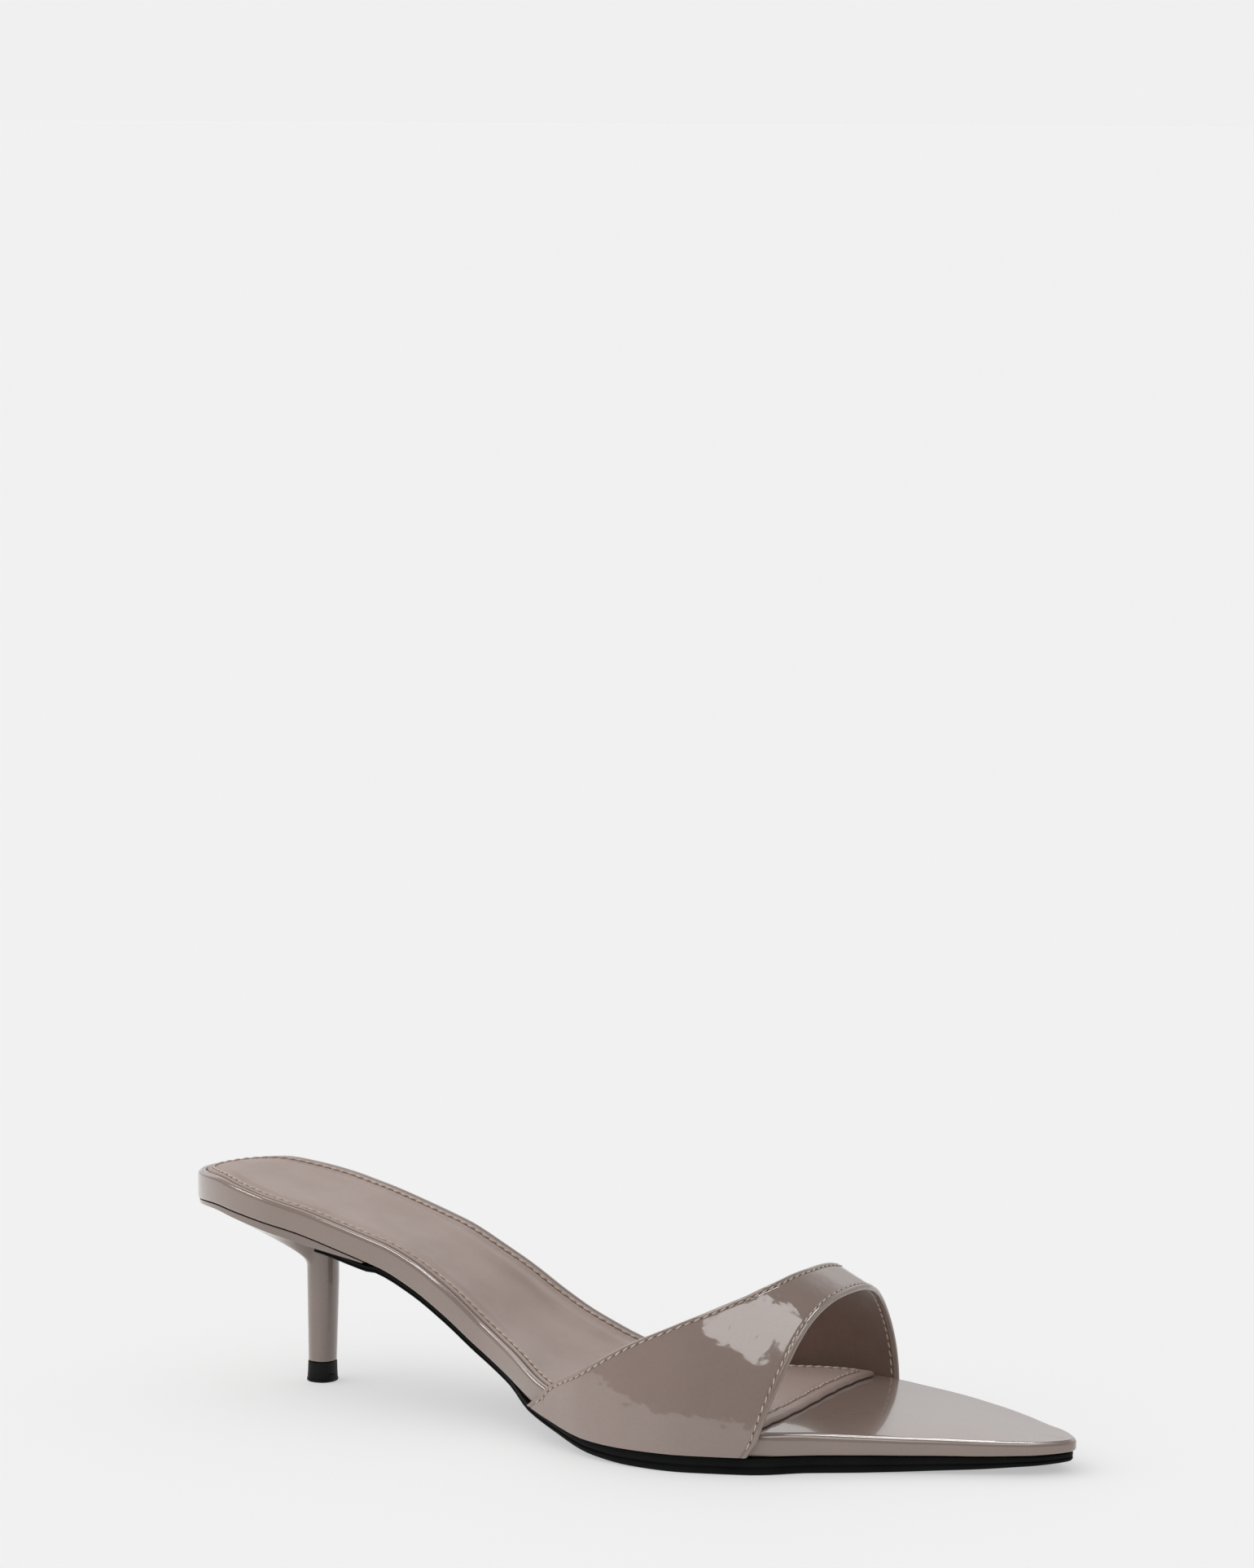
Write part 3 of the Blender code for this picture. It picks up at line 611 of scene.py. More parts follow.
class Effects:
    """Shader node groups that several finishes share, each built once."""

    def __init__(self) -> None:
        """Build the groups."""
        self.tint = self._tint()
        self.relief = self._relief()
        self.handling = self._handling()

    @staticmethod
    def _group(name: str, inputs: dict[str, str], outputs: dict[str, str]) -> tuple:
        """New group with named sockets.

        Args:
            name: name of the group.
            inputs: socket types by name.
            outputs: socket types by name.

        Returns:
            The group, its input node, its output node and a helper on it.
        """
        group = bpy.data.node_groups.new(name, "ShaderNodeTree")
        for label, kind in inputs.items():
            group.interface.new_socket(label, in_out="INPUT", socket_type=kind)
        for label, kind in outputs.items():
            group.interface.new_socket(label, in_out="OUTPUT", socket_type=kind)
        entry = group.nodes.new("NodeGroupInput")
        leave = group.nodes.new("NodeGroupOutput")
        return group, entry, leave, Tree(group)

    def _tint(self) -> bpy.types.NodeTree:
        """Colour that drifts between two tones in soft clouds and fine specks."""
        group, entry, leave, tree = self._group(
            "dye clouds",
            {"Place": "NodeSocketVector", "Tone": "NodeSocketColor", "Shade": "NodeSocketColor",
             "Cloud Scale": "NodeSocketFloat", "Speck Scale": "NodeSocketFloat"},
            {"Colour": "NodeSocketColor", "Clouds": "NodeSocketFloat"},
        )
        clouds = tree.add("TexNoise", Vector=entry.outputs["Place"], Scale=entry.outputs["Cloud Scale"],
                          Detail=4.0, Roughness=0.55)
        specks = tree.add("TexNoise", Vector=entry.outputs["Place"], Scale=entry.outputs["Speck Scale"],
                          Detail=2.0, Roughness=0.6)
        soft = tree.remap(clouds.outputs["Fac"], low=0.36, high=0.66, out_low=0.0, out_high=0.75)
        fine = tree.remap(specks.outputs["Fac"], low=0.50, high=0.72, out_low=0.0, out_high=0.45)
        share = tree.maths("ADD", soft, fine)
        tree.link(tree.blend(share, entry.outputs["Tone"], entry.outputs["Shade"]), leave.inputs["Colour"])
        tree.link(soft, leave.inputs["Clouds"])
        return group

    def _relief(self) -> bpy.types.NodeTree:
        """Height of slow ripples with fine pores on them."""
        group, entry, leave, tree = self._group(
            "skin relief",
            {"Place": "NodeSocketVector", "Ripple Scale": "NodeSocketFloat",
             "Ripple Depth": "NodeSocketFloat", "Grain Scale": "NodeSocketFloat",
             "Grain Depth": "NodeSocketFloat"},
            {"Height": "NodeSocketFloat"},
        )
        ripple = tree.add("TexNoise", Vector=entry.outputs["Place"], Scale=entry.outputs["Ripple Scale"],
                          Detail=2.0, Roughness=0.45)
        pores = tree.add("TexVoronoi", Vector=entry.outputs["Place"], Scale=entry.outputs["Grain Scale"],
                         Randomness=1.0)
        fibre = tree.add("TexNoise", Vector=entry.outputs["Place"], Scale=entry.outputs["Grain Scale"],
                         Detail=3.0, Roughness=0.6)
        pitted = tree.maths("MULTIPLY", pores.outputs["Distance"], 0.6)
        grain = tree.maths("ADD", pitted, fibre.outputs["Fac"])
        slow = tree.maths("MULTIPLY", ripple.outputs["Fac"], entry.outputs["Ripple Depth"])
        fast = tree.maths("MULTIPLY", grain, entry.outputs["Grain Depth"])
        tree.link(tree.maths("ADD", slow, fast), leave.inputs["Height"])
        return group

    def _handling(self) -> bpy.types.NodeTree:
        """Roughness with the smears and dust of a handled surface."""
        group, entry, leave, tree = self._group(
            "handling marks",
            {"Place": "NodeSocketVector", "Roughness": "NodeSocketFloat", "Spread": "NodeSocketFloat"},
            {"Roughness": "NodeSocketFloat", "Dust": "NodeSocketFloat"},
        )
        smears = tree.add("TexNoise", Vector=entry.outputs["Place"], Scale=55.0, Detail=5.0, Roughness=0.6)
        smears.inputs["Distortion"].default_value = 1.2
        dust = tree.add("TexNoise", Vector=entry.outputs["Place"], Scale=2400.0, Detail=1.0)
        specks = tree.remap(dust.outputs["Fac"], low=0.70, high=0.78, out_low=0.0, out_high=1.0)
        smear = tree.remap(smears.outputs["Fac"], low=0.35, high=0.70, out_low=0.0, out_high=1.0)
        spread = tree.maths("MULTIPLY", tree.maths("ADD", smear, specks), entry.outputs["Spread"])
        tree.link(tree.maths("ADD", entry.outputs["Roughness"], spread), leave.inputs["Roughness"])
        tree.link(specks, leave.inputs["Dust"])
        return group


class Dresser:
    """Makes one material for each finish and puts it on pieces."""

    def __init__(self) -> None:
        """Build the shared effects."""
        self.effects = Effects()

    def _group_node(self, tree: Tree, group: bpy.types.NodeTree, **inputs: object) -> bpy.types.Node:
        """Place a shared group in a material with its own values.

        Args:
            tree: the material's tree.
            group: the shared group.
            inputs: input names, with spaces as underscores.

        Returns:
            The group's node.
        """
        node = tree.tree.nodes.new("ShaderNodeGroup")
        node.node_tree = group
        for name, value in inputs.items():
            socket = node.inputs[name.replace("_", " ")]
            if isinstance(value, bpy.types.NodeSocket):
                tree.link(value, socket)
            else:
                socket.default_value = value
        return node

    def material(self, name: str, finish: Finish) -> bpy.types.Material:
        """Material of one finish.

        Args:
            name: name of the material.
            finish: its colours, gloss and relief.

        Returns:
            The new material.
        """
        made = bpy.data.materials.new(name)
        made.use_nodes = True
        tree = Tree(made.node_tree)
        shader = made.node_tree.nodes["Principled BSDF"]
        place = tree.add("TexCoord").outputs["Object"]
        dye = self._group_node(tree, self.effects.tint, Place=place, Tone=(*finish.colour, 1.0),
                               Shade=(*finish.shade, 1.0), Cloud_Scale=finish.mottle_scale,
                               Speck_Scale=finish.grain_scale)
        marks = self._group_node(tree, self.effects.handling, Place=place, Roughness=finish.roughness,
                                 Spread=finish.rough_spread)
        relief = self._group_node(tree, self.effects.relief, Place=place, Ripple_Scale=finish.ripple_scale,
                                  Ripple_Depth=finish.ripple_depth, Grain_Scale=finish.grain_scale,
                                  Grain_Depth=finish.grain_depth)
        bump = tree.add("Bump", Height=relief.outputs["Height"], Strength=1.0, Distance=1.0)
        tree.link(dye.outputs["Colour"], shader.inputs["Base Color"])
        tree.link(marks.outputs["Roughness"], shader.inputs["Roughness"])
        tree.link(bump.outputs["Normal"], shader.inputs["Normal"])
        shader.inputs["Coat Weight"].default_value = finish.coat
        shader.inputs["Coat Roughness"].default_value = finish.coat_roughness
        shader.inputs["Sheen Weight"].default_value = finish.sheen
        shader.inputs["Specular IOR Level"].default_value = finish.specular
        return made

    def dress(self, piece: bpy.types.Object, finish: Finish, slot: str,
              replaces: str = "") -> bpy.types.Object:
        """Give a piece its material and its body, and log its slot.

        Args:
            piece: finished piece.
            finish: its finish.
            slot: the record's material slot.
            replaces: CAD node that it stands for, if any.

        Returns:
            The same piece.
        """
        piece.data.materials.clear()
        piece.data.materials.append(self.material(piece.name, finish))
        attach(piece, BODY)
        if replaces:
            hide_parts(replaces)
        LOG.info("%s: %d faces, slot %s", piece.name, len(piece.data.polygons), slot)
        return piece


# Stitching


@dataclass
class Seam:
    """A row of stitches along a line, each thread lying in a shallow dent."""

    pitch: float = 0.0024
    fill: float = 0.80
    thread: float = 0.00021
    lift: float = 0.00008
    lean: float = 0.16
    lean_spread: Place = (-0.08, 0.08)
    pitch_spread: Place = (0.95, 1.05)
    # Size of the dark dots of painted shade at the needle holes.
    hole: Point = (0.00027, 0.00021, 0.00007)
    segments: int = 8
    rings: int = 6
    rng: random.Random = field(default_factory=lambda: random.Random(SEED))

    def walk(self, path: list[tuple[Vector, Vector]]) -> list[tuple[Vector, Vector, Vector]]:
        """Even places along a path.

        Args:
            path: points with the surface's normal at each.

        Returns:
            Place, direction and normal of each stitch.
        """
        found = []
        due = 0.5 * self.pitch
        for (start, up), (end, _) in zip(path, path[1:]):
            step = (end - start).length
            while due <= step and step > 0.0:
                found.append((start.lerp(end, due / step), (end - start).normalized(), up))
                due += self.pitch * self.rng.uniform(*self.pitch_spread)
            due -= step
        return found

    def _bead(self) -> bpy.types.Mesh:
        """Round bead that every stitch and hole is stretched from."""
        shape = bmesh.new()
        bmesh.ops.create_uvsphere(shape, u_segments=self.segments, v_segments=self.rings, radius=1.0)
        bead = bpy.data.meshes.new("bead")
        shape.to_mesh(bead)
        shape.free()
        return bead

    def _add(self, mesh: bmesh.types.BMesh, bead: bpy.types.Mesh, place: Vector, ahead: Vector, up: Vector,
             half: Vector) -> None:
        """Add one copy of the bead, stretched along its direction.

        Args:
            mesh: geometry that the copy is added to.
            bead: the round bead.
            place: middle of the copy.
            ahead: its long direction.
            up: the surface's normal.
            half: half its size ahead, aside and up.
        """
        side = up.cross(ahead).normalized()
        lifted = ahead.cross(side).normalized()
        turn = Matrix((ahead, side, lifted)).transposed().to_4x4()
        copy = bead.copy()
        copy.transform(Matrix.Translation(place) @ turn @ Matrix.Diagonal((*half, 1.0)))
        mesh.from_mesh(copy)
        bpy.data.meshes.remove(copy)

    def threads(self, name: str, paths: list[list[tuple[Vector, Vector]]]) -> bpy.types.Object:
        """One piece with every stitch of some paths.

        Args:
            name: name of the piece.
            paths: lines of points and normals.

        Returns:
            The piece.
        """
        mesh = bmesh.new()
        bead = self._bead()
        half = Vector((0.5 * self.fill * self.pitch, self.thread, self.thread))
        for path in paths:
            for place, ahead, up in self.walk(path):
                side = up.cross(ahead).normalized()
                ahead = (ahead + side * (self.lean + self.rng.uniform(*self.lean_spread))).normalized()
                self._add(mesh, bead, place + up * self.lift, ahead, up, half)
        bpy.data.meshes.remove(bead)
        return finished(name, mesh)

    def holes(self, name: str, paths: list[list[tuple[Vector, Vector]]]) -> bpy.types.Object:
        """Dark dots at the needle holes between the stitches of the same paths, painted shade of the holes.

        Args:
            name: name of the piece.
            paths: lines of points and normals.

        Returns:
            The piece.
        """
        mesh = bmesh.new()
        bead = self._bead()
        half = Vector(self.hole)
        for path in paths:
            places = self.walk(path)
            for (start, ahead, up), (end, _, _) in zip(places, places[1:]):
                self._add(mesh, bead, start.lerp(end, 0.5), ahead, up, half)
        bpy.data.meshes.remove(bead)
        return finished(name, mesh)


# Sole pieces


@dataclass
class Platform:
    """Board wrapped in patent, with a rounded rim round the sock and a domed toe."""

    last: Last
    count: int = 150
    lower_radius: float = 0.0007
    rim_steps: int = 9
    rim_radius: float = 0.0009
    rim_crown: float = 0.00014
    valley: float = 0.00215
    recess_lead: float = 0.0002
    recess_span: float = 0.0004
    strip: float = 0.0026
    soften: Rise = Rise(0.150, 0.045)
    spine_back: float = 0.012
    spine_front: float = 0.010
    top_steps: int = 16

    def places(self) -> list[tuple[float, Side]]:
        """Stations round the outline: outer side to the tip, inner side back."""
        xs = stations(0.0, self.last.length, self.count)
        return [(x, Side.OUTER) for x in xs] + [(x, Side.INNER) for x in xs[-2:0:-1]]

    def loop(self, margin: Callable[[float], float]) -> list[Place]:
        """Loop drawn in by a margin that may change along the shoe."""
        return [self.last.side_point(x, side, margin(x)) for x, side in self.places()]

    def spine(self) -> list[Place]:
        """Line in the middle that the inner loops shrink to."""
        low, high = self.spine_back, self.last.length - self.spine_front
        xs = [min(max(x, low), high) for x, _ in self.places()]
        return [(x, self.last.centre(x)) for x in xs]

    def radius(self, x: float) -> float:
        """Radius of the rim: tight round the heel and waist, soft at the toe."""
        full = self.last.edge_radius(x)
        return self.rim_radius + (full - self.rim_radius) * self.soften.at(x)

    def top(self, place: Place, margin: float) -> float:
        """Height of the wrapped top: a crowned strip, then the recess that the sock lies in.

        Args:
            place: point in plan.
            margin: its distance from the outline.

        Returns:
            The height above the floor.
        """
        crown = self.rim_crown * math.sin(math.pi * min(margin / self.valley, 1.0))
        drop = self.last.recess(place[0]) * ease((margin - self.valley + self.recess_lead) / self.recess_span)
        return self.last.footbed(*place) + crown - drop

    def build(self) -> bpy.types.Object:
        """Loft the wrap from its underside, up the wall, over the rim and the top."""
        last = self.last
        xs = [x for x, _ in self.places()]
        spine = self.spine()
        under = self.loop(lambda x: self.lower_radius)
        rows = []
        for share in (1.0, 0.5, 0.0):
            loop = towards(under, spine, share)
            rows.append([last.world(*p, last.board_bottom(x)) for p, x in zip(loop, xs)])
        for turn in (30.0, 60.0, 90.0):
            inward = self.lower_radius * (1.0 - math.sin(math.radians(turn)))
            up = self.lower_radius * (1.0 - math.cos(math.radians(turn)))
            loop = self.loop(lambda x: inward)
            rows.append([last.world(*p, last.board_bottom(x) + up) for p, x in zip(loop, xs)])
        for k in range(self.rim_steps):
            turn = 0.5 * math.pi * k / self.rim_steps
            loop = self.loop(lambda x: self.radius(x) * (1.0 - math.cos(turn)))
            drop = 1.0 - math.sin(turn)
            rows.append([last.world(*p, last.board_top(x) - drop * self.radius(x)) for p, x in zip(loop, xs)])
        for share in (0.0, 0.22, 0.44, 0.64, 0.80, 0.90, 1.0):
            def margin(x: float) -> float:
                """Distance of this row from the outline."""
                return self.radius(x) + (self.strip - self.radius(x)) * share

            rows.append([last.world(*p, self.top(p, margin(x))) for p, x in zip(self.loop(margin), xs)])
        inner = self.loop(lambda x: self.strip)
        for k in range(1, self.top_steps + 1):
            loop = towards(inner, spine, k / self.top_steps)
            rows.append([last.world(*p, last.footbed(*p) - last.recess(p[0])) for p in loop])
        return loft("platform_wrap", rows, closed=True)


SOCK_EDGE = (
    EdgeRow(0.0, 0.45),
    EdgeRow(0.00006, 0.74),
    EdgeRow(0.0002, 1.00),
    EdgeRow(0.0004, 1.14),
    EdgeRow(0.0008, 1.20),
    EdgeRow(0.0012, 1.14),
    EdgeRow(0.00146, 0.94),
    EdgeRow(0.0017, 0.76),
    EdgeRow(0.00194, 0.94),
    EdgeRow(0.0022, 1.08),
    EdgeRow(0.0026, 1.10),
    EdgeRow(0.0031, 1.04),
)


@dataclass
class Sock:
    """Padded sock on the footbed, stitched near its edge and cut across at the front."""

    last: Last
    margin: float = 0.0025
    thickness: float = 0.0009
    front_outer: float = 0.1832
    front_inner: float = 0.1785
    front_stretch: float = 2.2
    seam_inset: float = 0.0017
    side_count: int = 150
    front_count: int = 26
    top_steps: int = 26
    pad_height: float = 0.00060
    pad_rise: Rise = Rise(0.0036, 0.0022)
    pad_fade: Rise = Rise(0.055, 0.075)
    roll_height: float = 0.00045
    roll_place: float = 0.0105
    roll_reach: float = 0.0021
    roll_on: Rise = Rise(0.055, 0.03)
    roll_off: Rise = Rise(0.125, 0.03)
    bow_height: float = 0.0018
    bow_skew: float = 2.6
    cut_height: float = 0.00016
    cut_waves: float = 41.0
    fray_height: float = 0.00010
    fray_waves: float = 87.0
    spine_back: float = 0.014
    spine_front: float = 0.160
    crowding: float = 1.35
    seam_level: float = 0.98
    probe_along: float = 0.001
    probe_across: float = 0.0005

    def bow(self, share: float) -> float:
        """How far the front edge runs ahead of a straight cut."""
        wave = self.bow_height * math.sin(math.pi * share) * math.cos(self.bow_skew * share)
        cut = self.cut_height * math.sin(self.cut_waves * share)
        fray = self.fray_height * math.sin(self.fray_waves * share + 1.0)
        return wave + (cut + fray)

    def loop(self, inset: float) -> list[Place]:
        """Loop inside the sock's edge.

        Args:
            inset: distance from the edge at the sides; larger at the front cut.

        Returns:
            Points in plan: outer side forwards, front cut, inner side back.
        """
        last = self.last
        turns = [0.5 * math.pi * k / self.side_count for k in range(self.side_count + 1)]
        back = self.front_stretch * inset
        outer_x = [(self.front_outer - back) * (1.0 - math.cos(turn)) for turn in turns]
        inner_x = [(self.front_inner - back) * (1.0 - math.cos(turn)) for turn in turns]
        outer = [last.side_point(x, Side.OUTER, self.margin + inset) for x in outer_x]
        inner = [last.side_point(x, Side.INNER, self.margin + inset) for x in inner_x]
        front = []
        for k in range(1, self.front_count):
            share = k / self.front_count
            x = outer[-1][0] + (inner[-1][0] - outer[-1][0]) * share + self.bow(share)
            front.append((x, outer[-1][1] + (inner[-1][1] - outer[-1][1]) * share))
        return outer + front + inner[:0:-1]

    def spine(self) -> list[Place]:
        """Middle line that the inner loops shrink to."""
        xs = [min(max(x, self.spine_back), self.spine_front) for x, _ in self.loop(0.0)]
        return [(x, self.last.centre(x)) for x in xs]

    def height(self, place: Place, relief: float) -> float:
        """Height above the sock's bed.

        Args:
            place: point in plan.
            relief: height over the bed, square to it.

        Returns:
            The height above the floor.
        """
        x = min(max(place[0], 0.0), self.last.length)
        return self.last.footbed(*place) - self.last.recess(x) + (self.last.gap + relief) * self.last.slant(x)

    def crown(self, place: Place, depth: float) -> float:
        """Thickness of sock and padding at a distance from the edge.

        Args:
            place: point in plan.
            depth: distance from the edge.

        Returns:
            The thickness.
        """
        x = place[0]
        pad = self.pad_height * self.pad_rise.at(depth)
        pad *= 1.0 - self.pad_fade.at(x)
        inner = self.last.half_width(x) - (place[1] - self.last.centre(x))
        along = self.roll_on.at(x) * (1.0 - self.roll_off.at(x))
        roll = self.roll_height * bump_at(inner, self.roll_place, self.roll_reach) * along
        return self.thickness + pad + roll

    def build(self) -> bpy.types.Object:
        """Loft the sock from its underside over the edge to its middle."""
        last = self.last
        spine = self.spine()
        edge = self.loop(0.0)
        rows = []
        for share in (1.0, 0.5, 0.0):
            rows.append([last.world(*p, self.height(p, 0.0)) for p in towards(edge, spine, share)])
        for edge_row in SOCK_EDGE:
            relief = self.thickness * edge_row.level
            rows.append([last.world(*p, self.height(p, relief)) for p in self.loop(edge_row.inset)])
        inner = self.loop(self.pad_rise.start)
        for k in range(self.top_steps + 1):
            row = []
            for start, end in zip(inner, spine):
                share = (k / self.top_steps) ** self.crowding
                p = (start[0] + (end[0] - start[0]) * share, start[1] + (end[1] - start[1]) * share)
                depth = self.pad_rise.start + math.dist(start, end) * share
                row.append(last.world(*p, self.height(p, self.crown(p, depth))))
            rows.append(row)
        return loft("padded_sock", rows, closed=True)

    def fall(self, place: Place, along: float, across: float) -> float:
        """Difference in height between two points either side of a place.

        Args:
            place: point in plan.
            along: distance of each from it along the shoe.
            across: distance of each from it across the shoe.

        Returns:
            The height ahead less the height behind.
        """
        x, y = place
        return self.height((x + along, y + across), 0.0) - self.height((x - along, y - across), 0.0)

    def seam_path(self) -> list[tuple[Vector, Vector]]:
        """Line of the stitches with the surface's normal."""
        last = self.last
        plan = self.loop(self.seam_inset)
        path = []
        for p in plan + plan[:1]:
            here = last.world(*p, self.height(p, self.thickness * self.seam_level))
            ahead = self.fall(p, self.probe_along, 0.0) / (2.0 * self.probe_along)
            aside = self.fall(p, 0.0, self.probe_across) / (2.0 * self.probe_across)
            path.append((here, Vector((-ahead, -aside, 1.0)).normalized()))
        return path


@dataclass
class Strap:
    """Wide patent strap with turned, stitched edges and a matt lining."""

    last: Last
    thickness: float = 0.0014
    instep_x: float = 0.1836
    instep_height: float = 0.0332
    instep_climb: float = 0.55
    foot_turn: float = 15.0
    rows: int = 168
    seam_distance: float = 0.0016
    stops: tuple[float, ...] = (
        0.0008, 0.0010, 0.0012, 0.00136, 0.00148, 0.0016, 0.00172, 0.00184, 0.0020, 0.0023,
    )
    stop_gap: float = 0.00005
    middle_count: int = 16
    fold_steps: int = 8
    fold_height: float = 0.00016
    fold_rise: Rise = Rise(0.0002, 0.0005)
    fold_fall: Rise = Rise(0.00115, 0.0004)
    dent_depth: float = 0.00017
    dent_reach: float = 0.00024
    skive: float = 0.0001
    lining_inset: float = 0.0011
    lining_thickness: float = 0.0004
    lining_swell: float = 0.00002
    lining_end: float = 9.0
    seam_end: float = 8.0
    seam_sink: float = 0.00008
    turn_probe: float = 0.5
    column_probe: float = 0.02
    back: Curve = field(init=False)
    front: Curve = field(init=False)

    def __post_init__(self) -> None:
        """Make the curves of both edges."""
        turns = [edge.turn for edge in STRAP_EDGES]
        self.back = Curve(turns, [edge.back for edge in STRAP_EDGES])
        self.front = Curve(turns, [edge.front for edge in STRAP_EDGES])

    def middle(self, turn: float, column: float) -> Vector:
        """Point in the middle of the leather.

        Args:
            turn: degrees round the foot, 0 and 180 at the platform's rim.
            column: 0 at the back edge, 1 at the front edge.

        Returns:
            The point in the row's frame.
        """
        last = self.last
        back = self.back(turn)
        x = last.length * (back + (self.front(turn) - back) * column)
        side = Side.OUTER if turn < 90.0 else Side.INNER
        foot = last.side_point(x, side, -(last.gap + 0.5 * self.thickness))
        shoulder = last.board_top(x) - last.edge_radius(x)
        below = max(-turn, turn - 180.0, 0.0) / self.foot_turn
        if below > 0.0:
            return last.world(*foot, shoulder + (last.board_bottom(x) - shoulder) * below)
        height = self.instep_height + self.instep_climb * (self.instep_x - x)
        away = abs(math.cos(math.radians(turn)))
        lift = math.sin(math.radians(turn))
        centre = last.centre(x)
        along = x + (foot[0] - x) * away
        return last.world(along, centre + (foot[1] - centre) * away, shoulder + height * lift)

    def width(self, turn: float) -> float:
        """Distance between the two edges."""
        return (self.middle(turn, 1.0) - self.middle(turn, 0.0)).length

    def frame(self, turn: float, column: float) -> tuple[Vector, Vector, Vector]:
        """Point, outward normal and direction towards the front edge.

        Args:
            turn: degrees round the foot.
            column: 0 at the back edge, 1 at the front edge.

        Returns:
            The three vectors.
        """
        low = max(turn - self.turn_probe, -self.foot_turn)
        high = min(turn + self.turn_probe, 180.0 + self.foot_turn)
        behind = max(column - self.column_probe, 0.0)
        ahead = min(column + self.column_probe, 1.0)
        round_foot = self.middle(high, column) - self.middle(low, column)
        forwards = self.middle(turn, ahead) - self.middle(turn, behind)
        return self.middle(turn, column), forwards.cross(round_foot).normalized(), forwards.normalized()

    def relief(self, distance: float) -> float:
        """Height of the turned edge and the dent along the stitches."""
        fold = self.fold_height * self.fold_rise.at(distance) * (1.0 - self.fold_fall.at(distance))
        dent = self.dent_depth * bump_at(distance, self.seam_distance, self.dent_reach)
        return fold - dent

    def ring(self, turn: float, inset: float, outside: float, inside: float, turned: bool) -> list[Vector]:
        """Loop across the strap: outer face forwards, front edge, inner face back, back edge.

        Args:
            turn: degrees round the foot.
            inset: distance of the loop's ends from the strap's edges.
            outside: offset of the outer face from the middle.
            inside: offset of the inner face from the middle.
            turned: True where the outer face shows the turned edges.

        Returns:
            The loop's points.
        """
        width = self.width(turn)
        radius = 0.5 * (outside - inside)
        core = 0.5 * (outside + inside)
        near = [inset + radius] + [stop for stop in self.stops if stop > inset + radius + self.stop_gap]
        span = width - 2.0 * near[-1]
        steps = self.middle_count
        between = [near[-1] + span * k / steps for k in range(1, steps)]
        distances = near + between + [width - stop for stop in near[::-1]]
        outer = []
        inner = []
        for distance in distances:
            point, normal, _ = self.frame(turn, distance / width)
            swell = self.relief(min(distance, width - distance)) if turned else 0.0
            outer.append(point + normal * (outside + swell))
            inner.append(point + normal * inside)
        folds = []
        for edge, sign in ((distances[-1], 1.0), (distances[0], -1.0)):
            point, normal, forwards = self.frame(turn, edge / width)
            fold = []
            for k in range(1, self.fold_steps):
                angle = 0.5 * math.pi - math.pi * k / self.fold_steps
                out = forwards * (sign * radius * math.cos(angle))
                fold.append(point + (out + normal * (core + radius * math.sin(angle))))
            folds.append(fold)
        return outer + folds[0] + inner[::-1] + folds[1][::-1]

    def turns(self) -> list[float]:
        """Degrees of each row round the foot."""
        sweep = 180.0 + 2.0 * self.foot_turn
        return [sweep * k / self.rows - self.foot_turn for k in range(self.rows + 1)]

    def leather(self) -> bpy.types.Object:
        """Patent leather with both edges turned in."""
        half = 0.5 * self.thickness
        rows = [self.ring(turn, 0.0, half, -half + self.skive, True) for turn in self.turns()]
        return loft("strap_leather", rows, closed=True, caps=True)

    def lining(self) -> bpy.types.Object:
        """Matt lining inside the strap, a little short of the turned edges."""
        half = 0.5 * self.thickness
        outside = -half + self.lining_thickness
        inside = -half - self.lining_swell
        turns = [turn for turn in self.turns() if -self.lining_end < turn < 180.0 + self.lining_end]
        rows = [self.ring(turn, self.lining_inset, outside, inside, False) for turn in turns]
        return loft("strap_lining", rows, closed=True, caps=True)

    def seam_path(self, edge: Edge, face: Face) -> list[tuple[Vector, Vector]]:
        """Line of one row of stitches with the surface's normal.

        Args:
            edge: edge of the strap that it runs along.
            face: face of the strap that it shows on.

        Returns:
            Points and normals.
        """
        path = []
        half = 0.5 * self.thickness
        for turn in self.turns():
            if not -self.seam_end <= turn <= 180.0 + self.seam_end:
                continue
            width = self.width(turn)
            distance = width - self.seam_distance if edge is Edge.FRONT else self.seam_distance
            point, normal, _ = self.frame(turn, distance / width)
            if face is Face.LEATHER:
                path.append((point + normal * (half - self.seam_sink), normal))
            else:
                path.append((point - normal * (half + self.lining_swell), -normal))
        return path


